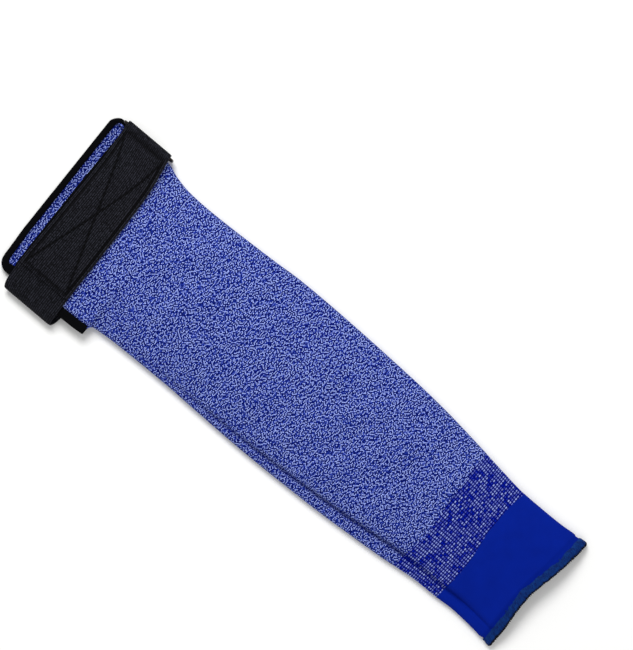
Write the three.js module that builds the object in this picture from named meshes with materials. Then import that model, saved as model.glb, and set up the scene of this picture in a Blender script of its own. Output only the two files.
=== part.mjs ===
// A knitted cut resistant sleeve for the arm, lying flat, in millimetres.
// X runs from the upper arm to the wrist, Y to the side that carries the ring, Z up.
// Every cloth piece is a wall between two depths under one outer skin, which the functions below give.
import * as THREE from "three";
import { mergeVertices } from "three/addons/utils/BufferGeometryUtils.js";

// Lengths along the arm: the knit from the opening to the rib band, the rib band and the cuff
const knitLength = 367;
const ribLength = 37;
const cuffLength = 54;

// The flat tube: its widths and how thick it lies at the upper arm and at the wrist. slitThinning is
// the share by which the fold at the slit side is thinner where the crease is deepest.
const armWidth = 123;
const wristWidth = 101;
const armHeight = 19;
const wristHeight = 15;
const foldWidth = 5;
const crownPower = 2.4;
const slitThinning = 0.15;

// Cloth
const wall = 1.3;
const gap = 0.3;
const ribPitch = 2.6;
const ribDepth = 0.4;

// The crease that runs along the upper layer, beside the slit edge
const creaseDepth = 2.6;
const lipRun = 5;

// The upper opening: its slant, how far the upper layer is set back, and its round corners
const mouthSlant = 3.4;
const mouthStep = 11.5;
const cornerRadius = 9;

// The slit and the tape that binds it. The cloth is sunk under the tape and tapeMargin past it, and
// climbs back to the skin over tapeStep.
const slitLength = 81.5;
const slitOpening = 2;
const tapeThickness = 0.8;
const mouthTapeWidth = 5;
const slitTapeWidth = 7.5;
const tapeStandOut = 8.7;
const slitTapeWeb = 4.2;
const tapeMargin = 0.6;
const tapeStep = 3;

// The hem of the cuff, and the run over which the cuff sinks under it
const hemWidth = 7;
const hemThickness = 0.7;
const hemDrift = 7;
const hemStep = 3;

// The strap: a patch under the slit, a fold beyond it, two layers over the front. The flap settles
// on the lower layer over flapSettle, and the cloth climbs over the patch along patchSlope.
const strapWidth = 45;
const strapThickness = 1.5;
const strapInset = 37;
const patchReach = 53.5;
const strapFoldReach = 8.6;
const flapReach = 14;
const flapSettle = 24;
const patchMargin = 2;
const patchSlope = 12;

// The ring and the tab that holds it; the strap climbs over the tab along tabSlope, tabLead before it
const ringLength = 47;
const ringWire = 2.6;
const ringRise = 11;
const ringFloor = 3.2;
const tabWidth = 25;
const tabThickness = 1.2;
const tabReach = 22;
const tabLead = 5;
const tabSlope = 11;

const sleeveLength = knitLength + ribLength + cuffLength;
const tapeStack = tapeThickness + gap;
const hemStack = hemThickness + gap;
const arcEnd = THREE.MathUtils.degToRad(64);
const edgeColumns = 4;

// Outline along the sleeve: along is a share of its length, ring and slit say how full each side is
// (0 the wrist's half width, 1 the arm's), height how thick it lies (0 wrist, 1 arm),
// inset the crease's distance from the slit side as a share of armWidth, fold how deep the crease is.
const outline = [
  { along: 0.0, ring: 1.62, slit: 1.07, height: 1.0, inset: 0.035, fold: 0.0 },
  { along: 0.065, ring: 1.62, slit: 1.07, height: 1.0, inset: 0.035, fold: 0.0 },
  { along: 0.109, ring: 1.53, slit: 1.06, height: 1.0, inset: 0.035, fold: 0.0 },
  { along: 0.133, ring: 1.19, slit: 1.05, height: 0.98, inset: 0.035, fold: 0.0 },
  { along: 0.164, ring: 0.95, slit: 1.01, height: 0.95, inset: 0.035, fold: 0.0 },
  { along: 0.218, ring: 0.9, slit: 0.8, height: 0.9, inset: 0.035, fold: 0.0 },
  { along: 0.332, ring: 1.09, slit: 0.71, height: 0.82, inset: 0.036, fold: 0.35 },
  { along: 0.393, ring: 1.25, slit: 0.76, height: 0.78, inset: 0.043, fold: 0.5 },
  { along: 0.502, ring: 1.23, slit: 0.81, height: 0.7, inset: 0.058, fold: 0.75 },
  { along: 0.638, ring: 1.04, slit: 0.66, height: 0.55, inset: 0.076, fold: 0.95 },
  { along: 0.708, ring: 0.84, slit: 0.48, height: 0.45, inset: 0.083, fold: 1.0 },
  { along: 0.775, ring: 0.53, slit: 0.26, height: 0.3, inset: 0.091, fold: 1.0 },
  { along: 0.841, ring: 0.18, slit: -0.03, height: 0.2, inset: 0.08, fold: 1.0 },
  { along: 0.88, ring: 0.0, slit: -0.06, height: 0.15, inset: 0.078, fold: 1.0 },
  { along: 0.917, ring: -0.03, slit: -0.16, height: 0.08, inset: 0.074, fold: 0.85 },
  { along: 0.963, ring: 0.0, slit: -0.05, height: 0.0, inset: 0.076, fold: 0.45 },
  { along: 1.0, ring: 0.14, slit: 0.14, height: 0.0, inset: 0.074, fold: 0.15 },
];

// Wave of the hem: along runs from the slit side (-1) to the ring side (1), out is a share of hemDrift
const hemWave = [
  { along: -1.0, out: 0.1 },
  { along: -0.7, out: 0.05 },
  { along: -0.3, out: -0.2 },
  { along: 0.0, out: -0.1 },
  { along: 0.35, out: 0.4 },
  { along: 0.8, out: 0.9 },
  { along: 1.0, out: 1.0 },
];

// The strap from the patch's end to the fold at the ring: along is 0 at the patch's end, 1 at the slit
// fold and 2 at the ring, centre and width are shares of strapInset and strapWidth
const strapRun = [
  { along: 0.0, centre: 0.98, width: 0.94 },
  { along: 0.7, centre: 1.03, width: 0.95 },
  { along: 0.85, centre: 1.07, width: 0.98 },
  { along: 1.0, centre: 1.01, width: 0.96 },
  { along: 1.12, centre: 0.965, width: 1.0 },
  { along: 1.5, centre: 0.93, width: 0.98 },
  { along: 1.82, centre: 0.87, width: 0.94 },
  { along: 2.0, centre: 0.755, width: 0.89 },
];

// Value of one column of a table at a place between its rows, on a smooth curve through them.
function read(rows, column, at) {
  const last = rows.length - 1;
  const place = THREE.MathUtils.clamp(at, rows[0].along, rows[last].along);
  let i = 0;
  while (i < last - 1 && rows[i + 1].along < place) {
    i += 1;
  }
  const slope = (k) => {
    const a = rows[Math.max(k - 1, 0)];
    const b = rows[Math.min(k + 1, last)];
    return (b[column] - a[column]) / (b.along - a.along);
  };
  const a = rows[i];
  const b = rows[i + 1];
  const span = b.along - a.along;
  const t = (place - a.along) / span;
  const rise = b[column] - a[column];
  const s0 = slope(i) * span;
  const s1 = slope(i + 1) * span;
  return a[column] + s0 * t + (3 * rise - 2 * s0 - s1) * t * t + (s0 + s1 - 2 * rise) * t ** 3;
}

const fullness = (s, column) => read(outline, column, s / sleeveLength);
const halfWidth = (full) => (wristWidth + (armWidth - wristWidth) * full) / 2;
const ringEdge = (s) => halfWidth(fullness(s, "ring"));
const slitEdge = (s) => halfWidth(fullness(s, "slit"));
const tapeEdge = (s) => slitEdge(s) + tapeStandOut;
const clothEdge = (s) => tapeEdge(s) - slitTapeWeb - gap;
const height = (s) => wristHeight + (armHeight - wristHeight) * fullness(s, "height");
const ringFold = (s) => height(s) / 4;
const slitFold = (s) => (height(s) / 4) * (1 - slitThinning * fullness(s, "fold"));
const edgeZone = ((slitTapeWidth + tapeMargin - slitTapeWeb - gap) * edgeColumns) / (edgeColumns - 1);
const foldTop = (half) => half * (1 + Math.sin(arcEnd));
const foldInset = foldWidth * (1 - Math.cos(arcEnd));

// The strap's patch lies under the cloth, which rises over it.
const patchEnd = clothEdge(strapInset) - patchReach;
const patchRise = strapThickness + gap;
const strapStart = strapInset - strapWidth / 2;
const strapEnd = strapInset + strapWidth / 2;
const patchClear = patchMargin * 3 - patchEnd;
const endSlope = patchSlope * 1.5;

const ramp = (at, from, to) => THREE.MathUtils.clamp((at - from) / (to - from), 0, 1);

function rise(s, y) {
  const corner = edgeZone - clothEdge(0);
  const atCorner = 1 - ramp(y, corner, corner + endSlope);
  const fromMouth = Math.max(atCorner, ramp(s, mouthTapeWidth, strapStart - patchMargin));
  const toWrist = 1 - THREE.MathUtils.smoothstep(s, strapEnd + patchMargin, strapEnd + patchSlope);
  const toRing = 1 - THREE.MathUtils.smoothstep(y, patchClear, endSlope - patchEnd);
  return patchRise * fromMouth * toWrist * toRing;
}

// Height of the skin's upper face at s and y; open is true beside the slit.
function top(s, y, open) {
  const stack = tapeStack * 2 + wall;
  const ringY = ringEdge(s) - foldInset;
  const ringZ = foldTop(ringFold(s));
  const slitY = open ? -tapeEdge(s) : foldInset - slitEdge(s);
  const slitZ = open ? patchRise + stack * 2 + slitOpening : foldTop(slitFold(s));
  const q = THREE.MathUtils.clamp((2 * y - ringY - slitY) / (ringY - slitY), -1, 1);
  const base = ringZ + ((slitZ - ringZ) * (1 - q)) / 2;
  const crown = height(s) - (ringZ + slitZ) / 2;
  return base + crown * (1 - Math.abs(q) ** crownPower) - (open ? 0 : crease(s, y));
}

function crease(s, y) {
  const inset = fullness(s, "inset") * armWidth;
  const beyond = y + slitEdge(s) - inset;
  const depth = creaseDepth * fullness(s, "fold");
  if (beyond > 0) {
    return depth * Math.max(0, 1 - beyond / lipRun) ** 2;
  }
  return depth * Math.max(0, 1 + beyond / (inset - foldInset));
}

// A column is one line of the skin along the sleeve: its zone round the section, and its place in it.
const zoneOrder = [
  "slitUnder", "edgeUnder", "overPatch", "under", "ringUnder",
  "ringOver", "over", "lip", "strip", "slitOver",
];

function columnsOf(counts) {
  const columns = [];
  zoneOrder.forEach((zone) => {
    for (let k = 0; k < counts[zone]; k += 1) {
      columns.push({ zone, t: k / counts[zone] });
    }
  });
  columns.push({ zone: "slitOver", t: 1 });
  return columns;
}

const isUpper = (zone) => ["over", "lip", "strip", "slitOver"].includes(zone);

// The point of the skin on a column at s.
function skin(column, s, open) {
  const { zone, t } = column;
  const point = (y, z) => new THREE.Vector3(s, y, z);
  const ring = ringEdge(s);
  const slit = slitEdge(s);
  const underSlit = open ? -clothEdge(s) : foldWidth - slit;
  const creaseY = open ? edgeZone - clothEdge(s) : fullness(s, "inset") * armWidth - slit;
  const stripEnd = open ? -clothEdge(s) : foldInset - slit;
  const across = (a, b) => THREE.MathUtils.lerp(a, b, t);
  const arc = (side, edge, half, angle) =>
    point(side * (edge - foldWidth + foldWidth * Math.cos(angle)), half + half * Math.sin(angle));
  const flat = (y) => point(y, rise(s, y));
  const raised = (y) => point(y, top(s, y, open));
  switch (zone) {
    case "slitUnder":
      return open ? flat(-clothEdge(s)) : arc(-1, slit, slitFold(s), (-t * Math.PI) / 2);
    case "edgeUnder":
      return flat(across(underSlit, underSlit + edgeZone));
    case "overPatch":
      return flat(across(underSlit + edgeZone, patchClear));
    case "under":
      return flat(across(patchClear, ring - foldWidth));
    case "ringUnder":
      return arc(1, ring, ringFold(s), ((t - 1) * Math.PI) / 2);
    case "ringOver":
      return arc(1, ring, ringFold(s), t * arcEnd);
    case "over":
      return raised(across(ring - foldInset, creaseY + lipRun));
    case "lip":
      return raised(across(creaseY + lipRun, creaseY));
    case "strip":
      return raised(across(creaseY, stripEnd));
    default:
      return open ? raised(-clothEdge(s)) : arc(-1, slit, slitFold(s), (1 - t) * arcEnd);
  }
}

// How far along the sleeve the tape's outer edge lies on a column, without the corners.
function mouthLine(column, y) {
  const ringShare = (1 + y / ringEdge(0)) / 2;
  const back = -mouthSlant * ringShare;
  const turn = column.zone === "ringUnder" ? column.t / 2 : (1 + column.t) / 2;
  const isTurn = column.zone.startsWith("ring");
  const share = isTurn ? THREE.MathUtils.smoothstep(turn, 0, 1) : Number(isUpper(column.zone));
  return back + mouthStep * share;
}

// Outward normals of a section's points in its own plane, from the nearest distinct neighbours.
function normalsOf(points, closed) {
  const count = points.length;
  const flatDistance = (a, b) => Math.hypot(a.y - b.y, a.z - b.z);
  const neighbour = (i, step) => {
    let k = i;
    for (let n = 0; n < count; n += 1) {
      k += step;
      if (closed) {
        k = (k + count) % count;
      } else if (k < 0 || k >= count) {
        return points[i];
      }
      if (flatDistance(points[k], points[i]) > 0.01) {
        return points[k];
      }
    }
    return points[i];
  };
  return points.map((p, i) => {
    const a = neighbour(i, -1);
    const b = neighbour(i, 1);
    return new THREE.Vector3(0, b.z - a.z, a.y - b.y).normalize();
  });
}

const sunk = (points, normals, depth) =>
  points.map((p, i) => p.clone().addScaledVector(normals[i], -depth[i]));

// Collects four-cornered faces and closes them into one solid with its faces outwards.
function solidFrom(quads, name, look) {
  const corners = [];
  quads.forEach(([a, b, c, d]) => corners.push(a, b, c, a, c, d));
  const loose = new THREE.BufferGeometry().setFromPoints(corners);
  const merged = mergeVertices(loose, 1e-3);
  const index = Array.from(merged.index.array);
  const kept = [];
  for (let i = 0; i < index.length; i += 3) {
    const [a, b, c] = index.slice(i, i + 3);
    if (a !== b && b !== c && a !== c) {
      kept.push(a, b, c);
    }
  }
  const position = merged.getAttribute("position");
  const at = (i) => new THREE.Vector3().fromBufferAttribute(position, i);
  let volume = 0;
  for (let i = 0; i < kept.length; i += 3) {
    volume += at(kept[i]).dot(at(kept[i + 1]).cross(at(kept[i + 2])));
  }
  merged.setIndex(volume < 0 ? kept.reverse() : kept);
  merged.computeVertexNormals();
  const mesh = new THREE.Mesh(merged, new THREE.MeshStandardMaterial(look));
  mesh.name = name;
  return mesh;
}

// A wall between an outer and an inner net of points. Where a row is closed its first and last
// points fall together; where it is open, the two edges get a face of the wall's thickness.
function wallFrom(rows, name, look) {
  const quads = [];
  const last = rows.length - 1;
  const end = rows[0].outer.length - 1;
  for (let i = 0; i < last; i += 1) {
    const a = rows[i];
    const b = rows[i + 1];
    for (let j = 0; j < end; j += 1) {
      quads.push([a.outer[j], a.outer[j + 1], b.outer[j + 1], b.outer[j]]);
      quads.push([a.inner[j], b.inner[j], b.inner[j + 1], a.inner[j + 1]]);
    }
    if (a.open || b.open) {
      quads.push([a.outer[0], b.outer[0], b.inner[0], a.inner[0]]);
      quads.push([a.outer[end], a.inner[end], b.inner[end], b.outer[end]]);
    }
  }
  for (let j = 0; j < end; j += 1) {
    quads.push([rows[0].outer[j], rows[0].inner[j], rows[0].inner[j + 1], rows[0].outer[j + 1]]);
    quads.push([rows[last].outer[j], rows[last].outer[j + 1], rows[last].inner[j + 1], rows[last].inner[j]]);
  }
  return solidFrom(quads, name, look);
}

// One row of a wall: place(column) gives s, and depth(point, column) how deep its outer face lies.
function wallRow(columns, open, place, depth) {
  const points = columns.map((column) => skin(column, place(column), open));
  if (!open) {
    points[points.length - 1] = points[0].clone();
  }
  const ends = open ? points : points.slice(0, -1);
  const normals = normalsOf(ends, !open);
  if (!open) {
    normals.push(normals[0]);
  }
  const outerDepth = points.map((point, i) => depth(point, columns[i], i));
  const innerDepth = points.map((point, i) => Math.max(outerDepth[i], depth(point, columns[i])) + wall);
  return { outer: sunk(points, normals, outerDepth), inner: sunk(points, normals, innerDepth), open };
}

const plainCounts = {
  slitUnder: 3, edgeUnder: edgeColumns, overPatch: 3, under: 5, ringUnder: 4,
  ringOver: 4, over: 9, lip: 4, strip: 3, slitOver: 3,
};
const plainColumns = columnsOf(plainCounts);

// Places along the slit where the lower layer starts, crosses and ends its way over the patch.
const overStrap = [
  strapEnd + patchSlope,
  strapEnd + patchMargin,
  THREE.MathUtils.lerp(strapStart, strapEnd, 0.65),
  THREE.MathUtils.lerp(strapStart, strapEnd, 0.3),
  strapStart,
];

// Where the cloth's own edge runs at the opening, inside the tape, round corners included.
function clothMouth(column) {
  const y = skin(column, tapeStack, true).y;
  const beyond = Math.max(0, -y - (tapeEdge(0) - cornerRadius));
  const reach = cornerRadius - slitTapeWeb - gap;
  const along = cornerRadius - tapeStack - gap * 1.5;
  const corner = along * (1 - Math.sqrt(Math.max(0, 1 - (beyond / reach) ** 2)));
  return mouthLine(column, y) + corner;
}

function bodyMesh() {
  const underTape = mouthTapeWidth + tapeMargin;
  const held = underTape + tapeStep;
  const fade = (station) => 1 - ramp(station, held, overStrap[0]);
  const openStations = [
    tapeStack + gap * 1.5, underTape, held, ...[...overStrap].reverse(), slitLength + gap,
  ];
  const closedFrom = slitLength + slitOpening;
  const closedTo = knitLength - gap / 2;
  const closedShares = [0, 0.03, 0.08, 0.16, 0.26, 0.37, 0.48, 0.6, 0.72, 0.82, 0.9, 0.96, 1];
  const covered = (station, open) => (point) => {
    const underMouthTape = station < held;
    const underSlitTape = open && point.y < slitTapeWidth + tapeMargin * 1.5 - tapeEdge(point.x);
    return underMouthTape || underSlitTape ? tapeStack : 0;
  };
  const openRows = openStations.map((station) =>
    wallRow(plainColumns, true, (c) => station + clothMouth(c) * fade(station), covered(station, true)));
  const closedRows = closedShares.map((share) => {
    const station = THREE.MathUtils.lerp(closedFrom, closedTo, share);
    return wallRow(plainColumns, false, () => station, covered(station, false));
  });
  return wallFrom([...openRows, ...closedRows], "sleeve_body", { color: "#4a5fc0", roughness: 0.9 });
}

// The rib band: every other column sinks by ribDepth, so that the ribs run along the sleeve.
function ribMesh() {
  const middle = knitLength + ribLength / 2;
  const ribCounts = {};
  zoneOrder.forEach((zone) => {
    const a = skin({ zone, t: 0 }, middle, false);
    const b = skin({ zone, t: 1 }, middle, false);
    ribCounts[zone] = 2 * Math.max(1, Math.round(a.distanceTo(b) / ribPitch));
  });
  const columns = columnsOf(ribCounts);
  const sink = (point, column, i) => (i % 2 === 1 ? ribDepth : 0);
  const stations = [knitLength + gap / 2, middle, knitLength + ribLength - gap / 2];
  const rows = stations.map((station) => wallRow(columns, false, () => station, sink));
  return wallFrom(rows, "rib_band", { color: "#24349c", roughness: 0.9 });
}

// How far the hem's outer edge runs out beyond the cuff's length at y.
const hemOut = (y) => hemDrift * read(hemWave, "out", (2 * y) / wristWidth);

function cuffMesh() {
  const from = knitLength + ribLength + gap / 2;
  const to = sleeveLength - hemStack;
  const shareBefore = (reach) => (to - from - reach) / (to - from);
  const shares = [0, 0.25, 0.55, shareBefore(hemWidth + hemStep), shareBefore(hemWidth), 1];
  const rows = shares.map((share) => {
    const station = THREE.MathUtils.lerp(from, to, share);
    const place = (c) => station + share ** 2 * hemOut(skin(c, station, false).y);
    const sink = () => (station > to - hemWidth - hemStep / 2 ? hemStack : 0);
    return wallRow(plainColumns, false, place, sink);
  });
  return wallFrom(rows, "wrist_cuff", { color: "#0c2c9e", roughness: 0.85 });
}

// A closed loop or an open run of profiles, each a ring of points, joined into one solid.
function loft(profiles, closed, name, look) {
  const quads = [];
  const count = profiles.length;
  const sides = profiles[0].length;
  for (let i = 0; i < (closed ? count : count - 1); i += 1) {
    const a = profiles[i];
    const b = profiles[(i + 1) % count];
    for (let k = 0; k < sides; k += 1) {
      const n = (k + 1) % sides;
      quads.push([a[k], a[n], b[n], b[k]]);
    }
  }
  if (!closed) {
    const ends = [profiles[0], [...profiles[count - 1]].reverse()];
    ends.forEach((p) => fillEnd(p, quads));
  }
  return solidFrom(quads, name, look);
}

// Closes an end. A U-shaped end has eight points: its outer leg, its web and its inner leg.
function fillEnd(p, quads) {
  if (p.length === 8) {
    quads.push([p[0], p[3], p[2], p[1]], [p[0], p[7], p[4], p[3]], [p[7], p[6], p[5], p[4]]);
  } else {
    quads.push([p[3], p[2], p[1], p[0]]);
  }
}

// Places of a U-shaped fold of tape or thread: in is the way from its outer edge along the cloth,
// down the depth under the skin, both in millimetres.
function uProfile(width, web, thickness, depth) {
  return [
    { in: 0, down: 0 },
    { in: width, down: 0 },
    { in: width, down: thickness },
    { in: web, down: thickness },
    { in: web, down: depth - thickness },
    { in: width, down: depth - thickness },
    { in: width, down: depth },
    { in: 0, down: depth },
  ];
}

function hemMesh() {
  const depth = hemStack * 2 + wall;
  const rowsAt = uProfile(hemWidth, hemThickness, hemThickness, depth).map(({ in: inward, down }) => {
    const place = (c) => {
      const y = skin(c, sleeveLength, false).y;
      return sleeveLength + hemOut(y) - inward;
    };
    const points = plainColumns.slice(0, -1).map((c) => skin(c, place(c), false));
    const normals = normalsOf(points, true);
    return sunk(points, normals, points.map(() => down));
  });
  const profiles = rowsAt[0].map((_, j) => rowsAt.map((row) => row[j]));
  return loft(profiles, true, "cuff_hem", { color: "#0b1c2c", roughness: 0.95 });
}

// The tape's path starts at the slit's end on the lower layer, runs up to the opening and once
// round it, and back down the upper layer. Each stop has its place and its way into the cloth.
function tapePath() {
  const cornerSteps = 5;
  const side = (upper) => {
    const zone = upper ? "strip" : "edgeUnder";
    const start = mouthLine({ zone, t: 0 }, -tapeEdge(0)) + cornerRadius;
    const stops = [];
    [slitLength, ...overStrap].forEach((s) => {
      stops.push({ s, y: -tapeEdge(s), ds: 0, dy: 1, wide: 1, upper });
    });
    for (let k = 0; k <= cornerSteps; k += 1) {
      const angle = (1 - k / cornerSteps) * (Math.PI / 2);
      const s = start - cornerRadius * Math.cos(angle);
      const y = cornerRadius - tapeEdge(start) - cornerRadius * Math.sin(angle);
      stops.push({ s, y, ds: Math.cos(angle), dy: Math.sin(angle), wide: angle / (Math.PI / 2), upper });
    }
    return stops;
  };
  return { lower: side(false), upper: side(true).reverse() };
}

function tapeMesh() {
  const depth = tapeStack * 2 + wall;
  const { lower, upper } = tapePath();
  const pastCorner = cornerRadius - tapeEdge(0) + tapeMargin;
  const probe = 0.5;
  const columns = plainColumns.filter((c) => skin(c, mouthTapeWidth, true).y > pastCorner);
  const web = (wide) => THREE.MathUtils.lerp(tapeThickness, slitTapeWeb, wide);
  const width = (wide) => THREE.MathUtils.lerp(mouthTapeWidth, slitTapeWidth, wide);
  const along = (stop, { in: inward, down }) => {
    const s = stop.s + stop.ds * inward;
    const y = stop.y + stop.dy * inward;
    if (!stop.upper) {
      return new THREE.Vector3(s, y, rise(s, y) + down);
    }
    const lean = (top(s, y + probe, true) - top(s, y - probe, true)) / (2 * probe);
    const normal = new THREE.Vector3(0, -lean, 1).normalize();
    return new THREE.Vector3(s, y, top(s, y, true)).addScaledVector(normal, -down);
  };
  const sideProfiles = (stops) => stops.map((stop) =>
    uProfile(width(stop.wide), web(stop.wide), tapeThickness, depth).map((place) => along(stop, place)));
  const mouthRows = uProfile(mouthTapeWidth, tapeThickness, tapeThickness, depth).map((place) => {
    const points = columns.map((c) => {
      const y = skin(c, 0, true).y;
      return skin(c, mouthLine(c, y) + place.in, true);
    });
    return sunk(points, normalsOf(points, false), points.map(() => place.down));
  });
  const mouthProfiles = mouthRows[0].map((_, j) => mouthRows.map((row) => row[j]));
  const profiles = [...sideProfiles(lower), ...mouthProfiles, ...sideProfiles(upper)];
  return loft(profiles, false, "opening_binding", { color: "#14141c", roughness: 0.95 });
}

// A ribbon of one thickness along a path in the Y-Z plane, with its two edges given at each stop.
function ribbon(path, thickness, name, look) {
  const profiles = path.map((p, i) => {
    const a = path[Math.max(i - 1, 0)];
    const b = path[Math.min(i + 1, path.length - 1)];
    const normal = new THREE.Vector2(a.z - b.z, b.y - a.y).normalize();
    const corner = (s, side) =>
      new THREE.Vector3(s, p.y + (normal.x * side * thickness) / 2, p.z + (normal.y * side * thickness) / 2);
    return [corner(p.from, 1), corner(p.to, 1), corner(p.to, -1), corner(p.from, -1)];
  });
  return loft(profiles, false, name, look);
}

// The highest skin under the strap at y, from samples across its width.
function frontUnder(y) {
  const samples = [0.1, 0.4, 0.7, 1].map((share) => THREE.MathUtils.lerp(strapStart, strapEnd, share));
  return Math.max(...samples.map((s) => {
    const reach = ringEdge(s) - foldInset;
    return top(s, Math.min(y, reach), true);
  }));
}

const ringCentreS = strapInset * strapRun[strapRun.length - 1].centre;
const ringY = ringEdge(ringCentreS) + tabThickness + gap * 2;
const frontEdgeY = ringEdge(ringCentreS) - foldInset;
const tabStartY = frontEdgeY + foldInset - tabReach;
const tabSlopeEnd = tabStartY - tabLead;
const overTab = (y) => THREE.MathUtils.smoothstep(y, tabSlopeEnd - tabSlope, tabSlopeEnd);
const tabRise = (y) => (tabThickness + gap) * overTab(y);
const lowerLayerZ = (y) => frontUnder(y) + gap + strapThickness / 2 + tabRise(y);
const barTurn = ringWire / 2 + gap + strapThickness / 2;
const ringTopZ = lowerLayerZ(frontEdgeY) + barTurn;
const ringBottomZ = Math.max(ringFloor, ringTopZ - ringRise);

// Places along strapRun where the strap leaves the surface, ends its fold and reaches the ring.
const foldStart = 0.85;
const foldEnd = 1.12;
const ringStart = 1.97;

function strapMesh() {
  const edges = (along) => {
    const centre = strapInset * read(strapRun, "centre", along);
    const half = (strapWidth * read(strapRun, "width", along)) / 2;
    return { from: centre - half, to: centre + half };
  };
  const path = [];
  const add = (y, z, along) => path.push({ y, z, ...edges(along) });
  const tapeY = Math.max(tapeEdge(strapStart), tapeEdge(strapEnd)) + gap * 2;
  const patchSteps = 5;
  for (let k = 0; k <= patchSteps; k += 1) {
    const t = k / patchSteps;
    add(THREE.MathUtils.lerp(-patchEnd, -tapeY, t), strapThickness / 2, foldStart * t);
  }
  const overZ = lowerLayerZ(-tapeY);
  const foldHalf = (overZ - strapThickness / 2) / 2;
  const foldSteps = 8;
  for (let k = 1; k <= foldSteps; k += 1) {
    const angle = (k / foldSteps) * Math.PI;
    const y = -tapeY - (strapFoldReach - strapThickness / 2) * Math.sin(angle);
    const along = THREE.MathUtils.lerp(foldStart, foldEnd, k / foldSteps);
    add(y, strapThickness / 2 + foldHalf * (1 - Math.cos(angle)), along);
  }
  const frontSteps = 18;
  const layer = [];
  for (let k = 1; k <= frontSteps; k += 1) {
    const t = k / frontSteps;
    const y = THREE.MathUtils.lerp(-tapeY, frontEdgeY, t);
    layer.push({ y, z: lowerLayerZ(y), along: THREE.MathUtils.lerp(foldEnd, ringStart, t) });
  }
  layer.forEach((p) => add(p.y, p.z, p.along));
  const turnSteps = 8;
  for (let k = 0; k <= turnSteps; k += 1) {
    const angle = (k / turnSteps) * Math.PI;
    add(ringY + barTurn * Math.sin(angle), ringTopZ - barTurn * Math.cos(angle), 2);
  }
  const flapEnd = flapReach - tapeY;
  const lift = strapThickness + gap;
  const spread = barTurn * 2 - lift;
  [...layer].reverse().filter((p) => p.y > flapEnd).forEach((p) => {
    const near = THREE.MathUtils.smoothstep(p.y, frontEdgeY - flapSettle, frontEdgeY);
    add(p.y, p.z + lift + spread * near, p.along);
  });
  const endShare = flapReach / (frontEdgeY + tapeY);
  add(flapEnd, lowerLayerZ(flapEnd) + lift, THREE.MathUtils.lerp(foldEnd, ringStart, endShare));
  return ribbon(path, strapThickness, "strap", { color: "#1b1b1f", roughness: 0.9 });
}

// The ring: round wire on a rectangle with round corners, standing on edge beside the fold.
function ringMesh() {
  const halfLength = (ringLength - ringWire) / 2;
  const halfRise = (ringTopZ - ringBottomZ) / 2;
  const bend = ringWire;
  const sides = 8;
  const cornerSteps = 4;
  const corners = [[1, 1, 0], [-1, 1, 1], [-1, -1, 2], [1, -1, 3]];
  const profiles = [];
  corners.forEach(([sx, sz, quarter]) => {
    for (let k = 0; k <= cornerSteps; k += 1) {
      const angle = ((quarter + k / cornerSteps) * Math.PI) / 2;
      const outward = new THREE.Vector3(Math.cos(angle), 0, Math.sin(angle));
      const centre = new THREE.Vector3(
        ringCentreS + sx * (halfLength - bend), ringY, (ringTopZ + ringBottomZ) / 2 + sz * (halfRise - bend));
      centre.addScaledVector(outward, bend);
      const section = [];
      for (let n = 0; n < sides; n += 1) {
        const turn = ((n + 0.5) / sides) * Math.PI * 2;
        const p = centre.clone().addScaledVector(outward, (Math.cos(turn) * ringWire) / 2);
        p.y += (Math.sin(turn) * ringWire) / 2;
        section.push(p);
      }
      profiles.push(section);
    }
  });
  return loft(profiles, true, "ring", { color: "#3c3a38", roughness: 0.35, metalness: 1 });
}

// The tab: sewn to the front under the strap, down over the fold and round the ring's lower bar,
// where it turns through wrapTurn half turns from wrapStart.
function tabMesh() {
  const wrapStart = 0.45;
  const wrapTurn = 1.15;
  const offset = gap + tabThickness / 2;
  const edges = { from: ringCentreS - tabWidth / 2, to: ringCentreS + tabWidth / 2 };
  const path = [];
  const add = (y, z) => path.push({ y, z, ...edges });
  const flatSteps = 6;
  for (let k = 0; k < flatSteps; k += 1) {
    const y = THREE.MathUtils.lerp(tabStartY, frontEdgeY - foldInset, k / flatSteps);
    add(y, frontUnder(y) + offset);
  }
  const half = ringFold(ringCentreS);
  const edgeY = ringEdge(ringCentreS);
  const foldSteps = 3;
  for (let k = 0; k < foldSteps; k += 1) {
    const angle = arcEnd * (1 - k / foldSteps);
    const y = edgeY - foldWidth + (foldWidth + offset) * Math.cos(angle);
    add(y, half + (half + offset) * Math.sin(angle));
  }
  const turn = ringWire / 2 + offset;
  const turnSteps = 9;
  for (let k = 0; k <= turnSteps; k += 1) {
    const angle = Math.PI * (wrapStart - (wrapTurn * k) / turnSteps);
    add(ringY + turn * Math.cos(angle), ringBottomZ + turn * Math.sin(angle));
  }
  return ribbon(path, tabThickness, "ring_tab", { color: "#1b1b1f", roughness: 0.9 });
}

const sleeve = new THREE.Group();
sleeve.add(bodyMesh(), ribMesh(), cuffMesh(), hemMesh(), tapeMesh(), strapMesh(), ringMesh(), tabMesh());

// The origin is the middle of the footprint, on the surface that the sleeve lies on.
const box = new THREE.Box3().setFromObject(sleeve);
const middle = box.getCenter(new THREE.Vector3());
sleeve.position.set(-middle.x, -middle.y, -box.min.z);

export default sleeve;
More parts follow.
